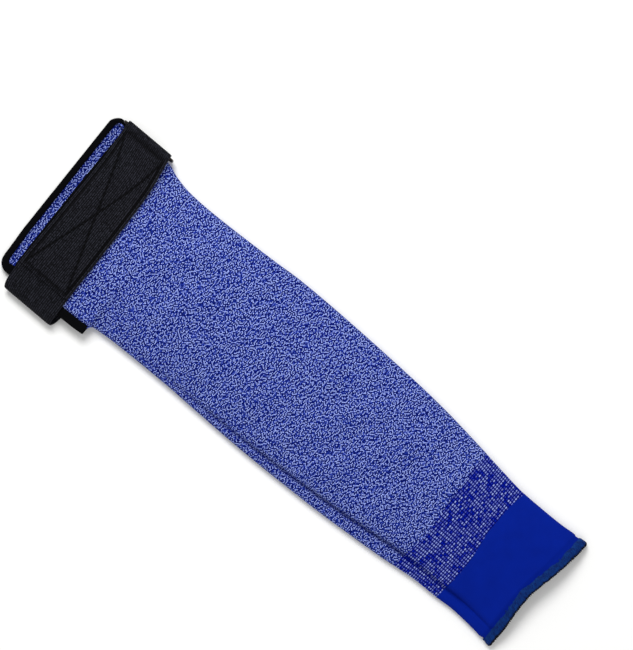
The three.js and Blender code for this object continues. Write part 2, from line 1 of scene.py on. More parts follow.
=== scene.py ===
# A cut resistant sleeve for the arm, lying flat: knitted tube, rib band, cuff, bound slit, strap and ring.
# Sizes are in millimetres in the sleeve's own frame: s along the arm from the upper opening, y across
# towards the ring's side, z up from the surface it lies on. put_mesh brings them into the frame.
import bpy
import numpy as np
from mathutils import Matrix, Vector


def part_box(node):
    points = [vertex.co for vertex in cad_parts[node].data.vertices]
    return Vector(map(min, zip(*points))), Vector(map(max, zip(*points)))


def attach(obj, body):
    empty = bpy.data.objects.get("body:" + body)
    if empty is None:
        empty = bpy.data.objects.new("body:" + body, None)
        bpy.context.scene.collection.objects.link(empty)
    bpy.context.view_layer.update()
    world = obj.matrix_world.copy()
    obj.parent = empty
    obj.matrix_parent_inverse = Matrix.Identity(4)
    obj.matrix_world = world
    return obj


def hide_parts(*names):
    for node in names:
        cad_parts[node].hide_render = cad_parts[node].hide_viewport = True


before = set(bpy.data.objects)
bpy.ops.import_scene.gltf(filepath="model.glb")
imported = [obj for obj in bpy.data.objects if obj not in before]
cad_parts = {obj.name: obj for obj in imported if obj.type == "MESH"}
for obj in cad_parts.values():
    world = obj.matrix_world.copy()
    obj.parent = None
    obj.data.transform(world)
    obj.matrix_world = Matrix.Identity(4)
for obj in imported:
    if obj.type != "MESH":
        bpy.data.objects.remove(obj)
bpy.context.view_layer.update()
rng = np.random.default_rng(46)


# The view: straight down on the sleeve as it lies, its cuff to the lower right.
# A long lens far away keeps the outline as flat as a picture taken from above.
image_height = 650
pixel_size = 0.73409
axis_slope = np.radians(40.145)
picture_centre = np.array([-21.9, 50.1, 9.0])
camera_height = 2600.0
sensor_size = 36.0

camera_data = bpy.data.cameras.new("overhead_camera")
camera_data.sensor_width = sensor_size
camera_data.lens = sensor_size * camera_height / (image_height * pixel_size)
camera = bpy.data.objects.new("overhead_camera", camera_data)
camera.location = (picture_centre + [0, 0, camera_height]) / 1000
camera.rotation_euler = (0, 0, axis_slope)
bpy.context.scene.collection.objects.link(camera)
bpy.context.scene.camera = camera


# The table: one plain pale sheet. Three soft lamps hang over it: a wide one towards the picture's
# upper left, which gives the folds their shade, a weak one opposite, and the sky as fill.
def srgb(hex_colour):
    """Linear colour of an sRGB hex value: ((c + 0.055) / 1.055) ** 2.4, or c / 12.92 where c is small."""
    c = np.array([int(hex_colour[i:i + 2], 16) / 255 for i in (1, 3, 5)])
    linear = np.where(c > 0.04045, ((c + 0.055) / 1.055) ** 2.4, c / 12.92)
    return (*linear.tolist(), 1.0)


def add(tree, kind, inputs=None, **settings):
    """Adds a shader node of one kind, sets its properties, and fills its inputs with values, or with links
    from a socket or from another node's first live output."""
    node = tree.nodes.new("ShaderNode" + kind)
    for key, value in settings.items():
        setattr(node, key, value)
    for key, value in (inputs or {}).items():
        if isinstance(value, bpy.types.Node):
            value = next(socket for socket in value.outputs if socket.enabled)
        if isinstance(value, bpy.types.NodeSocket):
            tree.links.new(value, node.inputs[key])
        else:
            node.inputs[key].default_value = value
    return node


def new_material(name):
    """An empty material with its output node: returns the material and its node tree."""
    material = bpy.data.materials.new(name)
    material.use_nodes = True
    material.node_tree.nodes.clear()
    return material, material.node_tree


table_size = 3.0
table_drop = 0.0001
table_colour = "#f1f1f0"
lamps = [
    {"name": "window_lamp", "place": (-0.9, 0.75, 1.5), "size": 0.9, "watts": 31},
    {"name": "fill_lamp", "place": (1.1, -0.7, 1.5), "size": 1.4, "watts": 7},
]
sky_colour = "#ffffff"
sky_strength = 0.5

table_mesh = bpy.data.meshes.new("table")
half_table = table_size / 2
table_corners = np.array([[-1, -1, 0], [1, -1, 0], [1, 1, 0], [-1, 1, 0]]) * half_table
table_mesh.from_pydata(table_corners - [0, 0, table_drop], [], [(0, 1, 2, 3)])
table = bpy.data.objects.new("table", table_mesh)
bpy.context.scene.collection.objects.link(table)
# Matt painted board: even and dull, so nothing shows on it but soft shadows
table_paint, tree = new_material("matt_table")
shader = add(tree, "BsdfPrincipled", {
    "Base Color": srgb(table_colour), "Roughness": 0.9, "Specular IOR Level": 0.2})
add(tree, "OutputMaterial", {"Surface": shader})
table_mesh.materials.append(table_paint)

for lamp in lamps:
    light = bpy.data.lights.new(lamp["name"], "AREA")
    light.size = lamp["size"]
    light.energy = lamp["watts"]
    holder = bpy.data.objects.new(lamp["name"], light)
    holder.location = lamp["place"]
    x, y, z = lamp["place"]
    holder.rotation_euler = (np.arctan2(np.hypot(x, y), z), 0, np.arctan2(x, -y))
    bpy.context.scene.collection.objects.link(holder)
sky = bpy.data.worlds.new("soft_sky")
sky.use_nodes = True
sky.node_tree.nodes["Background"].inputs["Color"].default_value = srgb(sky_colour)
sky.node_tree.nodes["Background"].inputs["Strength"].default_value = sky_strength
bpy.context.scene.world = sky
bpy.context.scene.view_settings.view_transform = "Standard"


# The body: a tube of melange yarn knitted in one piece, worn from above the elbow to the wrist. It lies
# flat, with a fold down either side and a crease along its upper layer. At the top one edge is slit.
knit_length = 367
rib_length = 37
cuff_length = 54
sleeve_length = knit_length + rib_length + cuff_length
arm_width = 123
wrist_width = 101
arm_height = 19
wrist_height = 15
fold_width = 5
crown_power = 2.4
slit_thinning = 0.15
wall = 1.3
seam_gap = 0.3
crease_depth = 2.6
lip_run = 5
mouth_slant = 3.4
mouth_step = 11.5
mouth_drop = 1.1
drop_run = (-62, -35)
corner_radius = 9
slit_length = 81.5
slit_opening = 2
tape_thickness = 0.8
mouth_tape_width = 5
slit_tape_width = 7.5
tape_stand_out = 8.7
slit_tape_web = 4.2
patch_reach = 53.5
patch_margin = 2
patch_slope = 12
strap_width = 45
strap_thickness = 1.5
strap_inset = 37
strap_start = strap_inset - strap_width / 2
strap_end = strap_inset + strap_width / 2
tape_stack = tape_thickness + seam_gap
arc_end = np.radians(64)
fold_inset = fold_width * (1 - np.cos(arc_end))
edge_zone = 4.8
edge_sliver = 0.5
cloth_step = 1.5

# along is a share of the sleeve's length, ring and slit how full each side is (0 the wrist's half
# width, 1 the arm's), height how thick it lies, inset the crease's way in, fold how deep it is.
outline = np.array([
    (0.0, 1.62, 1.07, 1.0, 0.035, 0.0),
    (0.065, 1.62, 1.07, 1.0, 0.035, 0.0),
    (0.109, 1.53, 1.06, 1.0, 0.035, 0.0),
    (0.133, 1.19, 1.05, 0.98, 0.035, 0.0),
    (0.164, 0.95, 1.01, 0.95, 0.035, 0.0),
    (0.218, 0.9, 0.8, 0.9, 0.035, 0.0),
    (0.332, 1.09, 0.71, 0.82, 0.036, 0.35),
    (0.393, 1.25, 0.76, 0.78, 0.043, 0.5),
    (0.502, 1.23, 0.81, 0.7, 0.058, 0.75),
    (0.638, 1.04, 0.66, 0.55, 0.076, 0.95),
    (0.708, 0.84, 0.48, 0.45, 0.083, 1.0),
    (0.775, 0.53, 0.26, 0.3, 0.091, 1.0),
    (0.841, 0.18, -0.03, 0.2, 0.08, 1.0),
    (0.88, 0.0, -0.06, 0.15, 0.078, 1.0),
    (0.917, -0.03, -0.16, 0.08, 0.074, 0.85),
    (0.963, 0.0, -0.05, 0.0, 0.076, 0.45),
    (1.0, 0.14, 0.14, 0.0, 0.074, 0.15),
], dtype=[(name, float) for name in ("along", "ring", "slit", "height", "inset", "fold")])

# Zones of the net round a section, from the slit's lower edge over the ring's side to its upper edge, and
# how many columns each has
zones = [
    ("slit_under", 6), ("edge_under", 5), ("over_patch", 30), ("under", 46), ("ring_under", 7),
    ("ring_over", 6), ("over", 74), ("lip", 10), ("strip", 12), ("slit_over", 6),
]
zone_number = {name: number for number, (name, _) in enumerate(zones)}


def read(rows, column, at):
    """Value of a table's column at a place: the cubic through its rows with the slopes of their chords."""
    x, v = rows["along"], rows[column]
    at = np.clip(at, x[0], x[-1])
    lower = np.maximum(np.arange(len(x)) - 1, 0)
    upper = np.minimum(np.arange(len(x)) + 1, len(x) - 1)
    slope = (v[upper] - v[lower]) / (x[upper] - x[lower])
    i = np.clip(np.searchsorted(x, at, side="left") - 1, 0, len(x) - 2)
    span = x[i + 1] - x[i]
    t = (at - x[i]) / span
    climb = v[i + 1] - v[i]
    s0, s1 = slope[i] * span, slope[i + 1] * span
    return v[i] + s0 * t + (3 * climb - 2 * s0 - s1) * t ** 2 + (s0 + s1 - 2 * climb) * t ** 3


def ramp(at, start, end):
    """Straight climb from 0 at start to 1 at end, level outside."""
    return np.clip((at - start) / (end - start), 0, 1)


def ease(at, start, end):
    """Smooth climb from 0 at start to 1 at end: 3 r squared minus 2 r cubed of the straight climb r."""
    r = ramp(at, start, end)
    return r * r * (3 - 2 * r)


def fullness(s, column):
    """A column of the outline at s."""
    return read(outline, column, s / sleeve_length)


def half_width(full):
    """Half width of the flat tube: the wrist's plus a share of what the arm's has more."""
    return (wrist_width + (arm_width - wrist_width) * full) / 2


def ring_edge(s):
    """How far the fold on the ring's side lies from the axis."""
    return half_width(fullness(s, "ring"))


def slit_edge(s):
    """How far the fold on the slit's side lies from the axis."""
    return half_width(fullness(s, "slit"))


def tape_edge(s):
    """Outer edge of the tape on the slit: it stands out from the fold that the tube would have."""
    return slit_edge(s) + tape_stand_out


def cloth_edge(s):
    """Edge of the cloth inside that tape."""
    return tape_edge(s) - slit_tape_web - seam_gap


def lie_height(s):
    """How thick the sleeve lies at s."""
    return wrist_height + (arm_height - wrist_height) * fullness(s, "height")


patch_end = cloth_edge(strap_inset) - patch_reach
patch_clear = patch_margin * 3 - patch_end
end_slope = patch_slope * 1.5
patch_rise = strap_thickness + seam_gap


def patch_lift(s, y):
    """Lift of the lower layer over the strap's patch: full at the opening, eased on its other sides."""
    corner = edge_zone - cloth_edge(0)
    at_corner = 1 - ramp(y, corner, corner + end_slope)
    from_mouth = np.maximum(at_corner, ramp(s, mouth_tape_width, strap_start - patch_margin))
    to_wrist = 1 - ease(s, strap_end + patch_margin, strap_end + patch_slope)
    to_ring = 1 - ease(y, patch_clear, end_slope - patch_end)
    return patch_rise * from_mouth * to_wrist * to_ring


def crease(s, y):
    """Depth of the crease: a squared rise on the side of the axis, a straight one towards the fold."""
    inset = fullness(s, "inset") * arm_width
    beyond = y + slit_edge(s) - inset
    depth = crease_depth * fullness(s, "fold")
    towards_axis = np.maximum(0, 1 - beyond / lip_run) ** 2
    towards_fold = np.maximum(0, 1 + beyond / (inset - fold_inset))
    return depth * np.where(beyond > 0, towards_axis, towards_fold)


def upper_face(s, y, is_open):
    """Height of the upper layer: a crown of 1 - |q| ** power between its two folds, less the crease."""
    stack = tape_stack * 2 + wall
    ring_y, ring_z = ring_edge(s) - fold_inset, lie_height(s) / 4 * (1 + np.sin(arc_end))
    slit_half = lie_height(s) / 4 * (1 - slit_thinning * fullness(s, "fold"))
    slit_y = np.where(is_open, -tape_edge(s), fold_inset - slit_edge(s))
    slit_z = np.where(is_open, patch_rise + stack * 2 + slit_opening, slit_half * (1 + np.sin(arc_end)))
    q = np.clip((2 * y - ring_y - slit_y) / (ring_y - slit_y), -1, 1)
    base = ring_z + (slit_z - ring_z) * (1 - q) / 2
    crown = lie_height(s) - (ring_z + slit_z) / 2
    return base + crown * (1 - np.abs(q) ** crown_power) - np.where(is_open, 0, crease(s, y))


def round_section(zone, t, s, is_open):
    """Place (y, z) on the skin: arcs at the two folds, the flat lower layer and the crowned upper one."""
    ring, slit = ring_edge(s), slit_edge(s)
    ring_half = lie_height(s) / 4
    slit_half = ring_half * (1 - slit_thinning * fullness(s, "fold"))
    cloth = cloth_edge(s)
    under_slit = np.where(is_open, edge_sliver - cloth, fold_width - slit)
    crease_y = np.where(is_open, edge_zone - cloth, fullness(s, "inset") * arm_width - slit)
    strip_end = np.where(is_open, edge_sliver - cloth, fold_inset - slit)
    under_y = {
        "edge_under": under_slit + edge_zone * t,
        "over_patch": (under_slit + edge_zone) * (1 - t) + patch_clear * t,
        "under": patch_clear * (1 - t) + (ring - fold_width) * t,
    }
    over_y = {
        "over": (ring - fold_inset) * (1 - t) + (crease_y + lip_run) * t,
        "lip": crease_y + lip_run * (1 - t),
        "strip": crease_y * (1 - t) + strip_end * t,
    }
    y, z = np.zeros_like(s), np.zeros_like(s)
    for name, places in under_y.items():
        here = zone == zone_number[name]
        y, z = np.where(here, places, y), np.where(here, patch_lift(s, places), z)
    for name, places in over_y.items():
        here = zone == zone_number[name]
        y, z = np.where(here, places, y), np.where(here, upper_face(s, places, is_open), z)
    arcs = {
        "slit_under": (-1, slit, slit_half, -t * np.pi / 2, t),
        "ring_under": (1, ring, ring_half, (t - 1) * np.pi / 2, None),
        "ring_over": (1, ring, ring_half, t * arc_end, None),
        "slit_over": (-1, slit, slit_half, (1 - t) * arc_end, 1 - t),
    }
    for name, (side, edge, half, angle, sliver) in arcs.items():
        here = zone == zone_number[name]
        arc_y = side * (edge - fold_width + fold_width * np.cos(angle))
        arc_z = half + half * np.sin(angle)
        if is_open and sliver is not None:
            arc_y = edge_sliver * sliver - cloth
            arc_z = upper_face(s, arc_y, True) if name == "slit_over" else patch_lift(s, arc_y)
        y, z = np.where(here, arc_y, y), np.where(here, arc_z, z)
    return y, z


def skin(zone, t, s):
    """Points of the skin (s, y, z): the section open beside the slit, closed past it, eased between."""
    s = np.broadcast_to(s, np.broadcast_shapes(np.shape(s), np.shape(zone))).astype(float)
    open_y, open_z = round_section(zone, t, s, True)
    shut_y, shut_z = round_section(zone, t, s, False)
    shut = ease(s, slit_length, slit_length + slit_opening)
    return np.stack([s, open_y + (shut_y - open_y) * shut, open_z + (shut_z - open_z) * shut], axis=-1)


def net_columns(counts):
    """Zone number and place in it of each column of a net, with one more at the end."""
    zone = np.concatenate([np.full(n, k) for k, (_, n) in enumerate(counts)] + [[len(counts) - 1]])
    t = np.concatenate([np.arange(n) / n for _, n in counts] + [[1.0]])
    return zone, t


def normals_of(points, shut_rows):
    """Unit normals of a net's rows in their own plane: the way from the point before to the one after,
    turned a quarter (0, dz, -dy), wrapped round where a row is shut."""
    after = np.concatenate([points[:, 1:], points[:, -1:]], axis=1)
    before = np.concatenate([points[:, :1], points[:, :-1]], axis=1)
    after[shut_rows, -1] = points[shut_rows, 1]
    before[shut_rows, 0] = points[shut_rows, -2]
    way = after - before
    normal = np.stack([np.zeros_like(way[..., 1]), way[..., 2], -way[..., 1]], axis=-1)
    return normal / np.maximum(np.linalg.norm(normal, axis=-1, keepdims=True), 1e-9)


def lattice(rows, columns, first=0):
    """Numbers of a net's points as a grid, counted from first."""
    return first + np.arange(rows * columns).reshape(rows, columns)


def cells(grid):
    """Four-cornered faces between the neighbours of a grid of point numbers."""
    corners = (grid[:-1, :-1], grid[:-1, 1:], grid[1:, 1:], grid[1:, :-1])
    return np.stack(corners, axis=-1).reshape(-1, 4)


sharp_angle = np.radians(55)


def put_mesh(name, points, faces, uv, material, nodes=(), same=None, shade=None):
    """Makes a piece from points in the sleeve's frame, in millimetres, and four-cornered faces. uv is in
    millimetres too; same gives, for each point, the number of the one that it falls together with, and
    shade how far it lies in a furrow, 0 to 1: painted shade, which its material reads to darken its colour."""
    points, uv = np.reshape(points, (-1, 3)), np.reshape(uv, (-1, 2))
    same = np.arange(len(points)) if same is None else same
    used, place = np.unique(same[faces], return_inverse=True)
    place = place.reshape(faces.shape)
    corner = points[used][place]
    volume = np.einsum("ij,ij->", corner[:, 0], np.cross(corner[:, 1], corner[:, 2]))
    volume += np.einsum("ij,ij->", corner[:, 0], np.cross(corner[:, 2], corner[:, 3]))
    if volume < 0:
        place, faces = place[:, ::-1], faces[:, ::-1]
    mesh = bpy.data.meshes.new(name)
    mesh.from_pydata((points[used] + frame_shift) / 1000, [], place.tolist())
    mesh.uv_layers.new(name="UVMap").data.foreach_set("uv", uv[faces].astype(np.float32).ravel())
    if shade is not None:
        mesh.attributes.new("shade", "FLOAT", "POINT").data.foreach_set(
            "value", np.reshape(shade, -1)[used].astype(np.float32))
    mesh.shade_smooth()
    mesh.set_sharp_from_angle(angle=sharp_angle)
    mesh.materials.append(material)
    piece = bpy.data.objects.new(name, mesh)
    bpy.context.scene.collection.objects.link(piece)
    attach(piece, "root")
    if nodes:
        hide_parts(*nodes)
    return piece


def two_faces(name, outer, inner, uv, shut_rows, material, nodes=(), shade=None):
    """A wall between two nets of points, with a rim along its first and last row, and one along its first
    and last column where the rows aren't shut."""
    rows, columns = outer.shape[:2]
    front, back = lattice(rows, columns), lattice(rows, columns, rows * columns)
    open_pair = ~(shut_rows[1:] & shut_rows[:-1])
    first_side = cells(np.stack([back[:, 0], front[:, 0]], axis=1))[open_pair]
    last_side = cells(np.stack([front[:, -1], back[:, -1]], axis=1))[open_pair]
    first_end = cells(np.stack([back[0], front[0]]))
    last_end = cells(np.stack([front[-1], back[-1]]))
    faces = np.concatenate([cells(front), cells(back)[:, ::-1], first_side, last_side, first_end, last_end])
    same = np.arange(2 * rows * columns)
    for grid in (front, back):
        same[grid[shut_rows, -1]] = grid[shut_rows, 0]
    return put_mesh(name, np.stack([outer, inner]), faces, np.stack([uv, uv]), material, nodes, same,
                    shade)


def mouth_line(zone, t, y):
    """Where the tape's outer edge lies: slanted by its way across, and set back on the upper layer."""
    back = -mouth_slant * (1 + y / ring_edge(0)) / 2
    drop = mouth_drop * ease(y, *drop_run)
    under, over = zone_number["ring_under"], zone_number["ring_over"]
    turn = np.where(zone == under, t / 2, (1 + t) / 2)
    share = np.where((zone == under) | (zone == over), ease(turn, 0, 1), zone > over)
    return back - drop * (1 - share) + mouth_step * share


# Waves of the upper layer: height, length along the arm, length across it, and start of each
ripple_waves = [(0.34, 61, 97, 0.4), (0.3, -43, 71, 2.1), (0.2, 35, -52, 4.0), (0.16, 27, 33, 1.2)]
ripple_start = (60, 110)
drag_height = 0.45
drag_pitch = 23
drag_lean = 40
drag_phase = 0.8
drag_start = (50, 66)
drag_end = (66, 118)
mouth_calm = (0, 20)


def ripple(s, y):
    """Soft waves of the upper layer: four crossing sines that start below the strap, and drag lines there
    that fade down the arm. Both are eased in from the opening."""
    total = sum(a * np.sin(2 * np.pi * (s / ls + y / ly) + p) for a, ls, ly, p in ripple_waves)
    drag = drag_height * np.sin(2 * np.pi * y / drag_pitch + drag_phase + s / drag_lean)
    drag = drag * (1 - ease(s, *drag_end))
    return (total * ease(s, *ripple_start) + drag * ease(s, *drag_start)) * ease(s, *mouth_calm)


def run_along(points, axis=0):
    """Way run along a line of points, from 0 at its first: the sum of the steps' lengths."""
    first = np.take(points, [0], axis=axis)
    return np.cumsum(np.linalg.norm(np.diff(points, axis=axis, prepend=first), axis=-1), axis=axis)


def row_lengths(net):
    """Way along each row of a net, 0 in the middle of the upper layer."""
    run = run_along(net, 1)
    anchor = np.searchsorted(zone, zone_number["over"]) + dict(zones)["over"] // 2
    return run - run[:, anchor:anchor + 1]


def seam_wave(column, y):
    """How far a seam of the rib band runs out along the arm at y."""
    return read(rib_waves, column, 2 * y / wrist_width)


def crease_line(s, y):
    """Depth of the sharp furrow at the crease's foot: exp(-(way from its line / width) ** 2)."""
    beyond = y + slit_edge(s) - fullness(s, "inset") * arm_width + furrow_shift
    return furrow_depth * fullness(s, "fold") * np.exp(-(beyond / furrow_width) ** 2)


def crease_painted_shade(s, y):
    """Painted shade of the strip beyond the crease, which darkens the knit's colour: strip_shade on its far
    side, and up to 1 in the furrow.
    """
    beyond = y + slit_edge(s) - fullness(s, "inset") * arm_width + furrow_shift
    strip = strip_shade * (1 - ease(beyond, *strip_near)) * ease(beyond, *strip_far)
    return fullness(s, "fold") * (strip + furrow_shade * np.exp(-(beyond / furrow_width) ** 2))


# Waves of the rib band's two seams: along is a share of the half width, from the slit's side (-1)
rib_waves = np.array([
    (-1.0, -1.0, 1.0), (-0.8, 0.0, 2.0), (-0.6, 1.7, 2.5), (-0.4, 2.5, 2.5), (-0.2, 2.0, 2.0),
    (0.0, 0.7, 0.5), (0.2, -0.3, -1.0), (0.4, -0.8, -1.0), (0.6, -1.2, -1.0), (0.8, -2.0, 0.0),
    (1.0, -1.0, 2.0),
], dtype=[("along", float), ("start", float), ("end", float)])
furrow_depth = 1.8
furrow_width = 1.1
furrow_shift = 0.4
# Painted shade: the knit's colour is darkened by furrow_shade in the crease's furrow and by strip_shade on
# the strip beyond it
furrow_shade = 0.6
strip_shade = 0.14
strip_near = (-1, 1)
strip_far = (-9, -2)

zone, place_in_zone = net_columns(zones)


def skin_at(s):
    """Points of the skin on the net's own columns, at one s or at a grid of them."""
    return skin(zone, place_in_zone, s)


# Way round the tube at the elbow, which the patterns of the hem follow
elbow = 200.0
around = run_along(skin_at([[elbow]])[0])

# Centre of the strap as a share of strap_inset, and its width as a share of strap_width: along is 0 at
# the end of its patch, about 1 at the fold beyond the slit and 2 at the ring
strap_run = np.array([
    (0.0, 0.98, 0.94),
    (0.7, 1.03, 0.95),
    (0.85, 1.07, 0.98),
    (1.0, 1.01, 0.96),
    (1.12, 0.965, 1.0),
    (1.5, 0.93, 0.98),
    (1.82, 0.87, 0.94),
    (2.0, 0.755, 0.89),
], dtype=[(name, float) for name in ("along", "centre", "width")])

# How far the sleeve's own origin lies from the frame's, read off the boxes of two CAD pieces
ring_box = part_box("ring")
rib_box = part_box("rib_band")
tab_thickness = 1.2
ring_centre_s = strap_inset * strap_run["centre"][-1]
ring_y = ring_edge(ring_centre_s) + tab_thickness + seam_gap * 2
frame_shift = np.array([
    rib_box[0].x * 1000 - knit_length - seam_gap / 2,
    (ring_box[0].y + ring_box[1].y) * 500 - ring_y,
    0,
])

# Melange jersey: one blue and one pale, cut resistant yarn knitted together, so each stitch shows its own
# mix of the two. Matt, with deep shade between the stitches, which are 1.15 by 0.75 mm as in a fine knit.
knit_dark = "#000b60"
knit_blue = "#243fba"
knit_pale = "#a9bbff"
stitch_width = 1.15
stitch_height = 0.75
stitch_gap = 0.18
own_weight = 1.65
beside_weight = 0.6
grey_level = 0.77
gap_weight = -0.3
shade_spread = 0.34
# Noise scales are per millimetre: one wanders over two stitches, one is a strand, one a wide cloud
wander_scale = 0.45
wander = 0.6
strand_scale = 1.0
strand_squeeze = 1.6
cloud_scale = 0.06
cloud_weight = 0.1
yarn_relief = 0.0004


def knit_tree(name, dark, middle, pale):
    """Stitches as bricks in offset rows. Each takes its shade from its own grey less a share of that of
    the stitches beside and above it, so that light and dark ones alternate, from a fine noise drawn out
    along the rows and from a faint wide one; the gaps between the stitches are dark and low."""
    material, tree = new_material(name)
    uv = add(tree, "UVMap", uv_map="UVMap")
    wobble = add(tree, "TexNoise", {"Vector": uv, "Scale": wander_scale, "Detail": 1.0})
    shift = add(tree, "VectorMath", {0: wobble.outputs["Color"], 1: (0.5, 0.5, 0.5)}, operation="SUBTRACT")
    shifted = add(tree, "VectorMath", {0: shift, "Scale": wander}, operation="SCALE")
    place = add(tree, "VectorMath", {0: uv, 1: shifted}, operation="ADD")
    grey = grey_level
    for across, up, weight in ((0.5, 1, -beside_weight), (-0.5, 1, -beside_weight),
                               (1, 0, -beside_weight), (0, 0, own_weight)):
        step = (across * stitch_width, up * stitch_height, 0)
        moved = add(tree, "VectorMath", {0: place, 1: step}, operation="ADD")
        brick = add(tree, "TexBrick", {
            "Vector": moved, "Color1": (0, 0, 0, 1), "Color2": (1, 1, 1, 1),
            "Mortar": (0.5, 0.5, 0.5, 1), "Scale": 1.0, "Mortar Size": stitch_gap, "Mortar Smooth": 1.0,
            "Brick Width": stitch_width, "Row Height": stitch_height}, offset=0.5, squash=1.0)
        grey = add(tree, "Math", {0: brick, 1: weight, 2: grey}, operation="MULTIPLY_ADD")
    drawn = add(tree, "Mapping", {"Vector": uv, "Scale": (1.0, strand_squeeze, 1.0)})
    strand = add(tree, "TexNoise", {
        "Vector": drawn, "Scale": strand_scale, "Detail": 2.0, "Roughness": 0.6})
    cloud = add(tree, "TexNoise", {"Vector": uv, "Scale": cloud_scale, "Detail": 3.0})
    strands = add(tree, "MapRange", {
        "Value": strand, "From Min": 0.3, "From Max": 0.7, "To Min": -0.5, "To Max": 0.0})
    clouds = add(tree, "Math", {0: cloud, 1: cloud_weight, 2: -cloud_weight / 2}, operation="MULTIPLY_ADD")
    sum_one = add(tree, "Math", {0: grey, 1: strands}, operation="ADD")
    sum_two = add(tree, "Math", {0: sum_one, 1: clouds}, operation="ADD")
    gaps = add(tree, "Math", {0: brick.outputs["Fac"], 1: gap_weight, 2: sum_two},
               operation="MULTIPLY_ADD")
    shade = add(tree, "MapRange", {
        "Value": gaps, "From Min": 0.5 - shade_spread, "From Max": 0.5 + shade_spread})
    colours = add(tree, "ValToRGB", {"Fac": shade})
    stops = colours.color_ramp.elements
    stops.new(0.5)
    for stop, colour in zip(stops, (dark, middle, pale)):
        stop.color = srgb(colour)
    height = add(tree, "Math", {0: brick.outputs["Fac"], 1: -1.0, 2: strand}, operation="MULTIPLY_ADD")
    # Painted shade: the mesh's shade attribute darkens the colour towards dark in the crease's furrow and
    # on the strip beyond it
    furrow = add(tree, "Attribute", attribute_name="shade")
    painted_shade_mix = add(tree, "Mix", {"Factor": furrow.outputs["Fac"], "A": colours, "B": srgb(dark)},
                 data_type="RGBA")
    bump = add(tree, "Bump", {"Height": height, "Strength": 0.8, "Distance": yarn_relief})
    shader = add(tree, "BsdfPrincipled", {
        "Base Color": painted_shade_mix, "Roughness": 0.9, "Specular IOR Level": 0.05, "Sheen Weight": 0.02,
        "Sheen Roughness": 0.5, "Normal": bump})
    add(tree, "OutputMaterial", {"Surface": shader})
    return material


melange_jersey = knit_tree("melange_jersey", knit_dark, knit_blue, knit_pale)

# Runs in millimetres: where the rows settle from the slanting mouth, where they take up the rib band's
# wave, where the ripples fade towards the two folds, and where the cloth sinks under its tape
settle_start = mouth_tape_width + 4
rib_wave_reach = 60
ripple_clear = 4
slit_fade = 22
ring_fade = 24
mouth_sink_run = 3
slit_sink_run = 2

stations = np.linspace(tape_stack + seam_gap, knit_length, int(knit_length / cloth_step))[:, None]
cloth_start = mouth_line(zone, place_in_zone, skin_at([[0.0]])[0, :, 1])
start_y = skin_at([[1.0]])[0, :, 1]
past_corner = np.maximum(0, -start_y - (tape_edge(0) - corner_radius))
corner_reach = corner_radius - slit_tape_web - seam_gap
corner_round = (corner_radius - tape_stack) * (
    1 - np.sqrt(np.maximum(0, 1 - (past_corner / corner_reach) ** 2)))
settled = 1 - ramp(stations, settle_start, strap_end + patch_slope)
body_y = skin_at(stations)[..., 1]
at_rib = ease(stations, knit_length - rib_wave_reach, knit_length)
body_s = stations + (cloth_start + corner_round)[None] * settled + at_rib * seam_wave("start", body_y)
body_net = skin_at(body_s)
shut_rows = (stations[:, 0] > slit_length + slit_opening)
body_net[shut_rows, -1] = body_net[shut_rows, 0]
is_upper = (zone > zone_number["ring_over"])[None]
net_y = body_net[..., 1]
edge_fade = ease(net_y, -slit_edge(body_s) + ripple_clear, -slit_edge(body_s) + slit_fade)
edge_fade = edge_fade * ease(-net_y, -ring_edge(body_s) + ripple_clear, -ring_edge(body_s) + ring_fade)
body_net[..., 2] += np.where(is_upper, ripple(body_s, net_y) * edge_fade, 0)
body_net[..., 2] -= np.where(is_upper, crease_line(body_s, net_y), 0)
body_uv = np.stack([row_lengths(body_net), body_s], axis=-1)
under_mouth = 1 - ease(stations, mouth_tape_width, mouth_tape_width + mouth_sink_run)
under_slit = 1 - ease(net_y + tape_edge(body_s), slit_tape_width, slit_tape_width + slit_sink_run)
under_slit = under_slit * (1 - ease(body_s, slit_length - 1, slit_length + slit_opening))
body_depth = (tape_stack * np.maximum(under_mouth, under_slit))[..., None]
body_normals = normals_of(body_net, shut_rows)
# Painted shade of the crease and its strip, on the outer face only, for the knit to read
body_painted_shade = np.where(is_upper, crease_painted_shade(body_s, net_y), 0)
two_faces("sleeve_body_cloth", body_net - body_normals * body_depth,
          body_net - body_normals * (body_depth + wall), body_uv, shut_rows,
          melange_jersey, ["sleeve_body"], np.stack([body_painted_shade, 0 * body_painted_shade]))


# The rib band: the same two yarns knitted in ribs that run along the arm and draw the sleeve in above
# the wrist. Between the ribs only the blue yarn shows; on them the pale one comes up as rows of dots.
rib_pitch = 2.6
rib_depth = 0.55
rib_ground = "#000464"
rib_dot = "#bccfff"
rib_dark_dot = "#001898"
dot_height = 1.75
dot_gap = 0.62
dot_weight = 0.25
dot_scale = 0.55
dot_noise = 0.5
rib_columns = 4
row_step = 1.2
fine_zones = [(name, count * rib_columns) for name, count in zones]


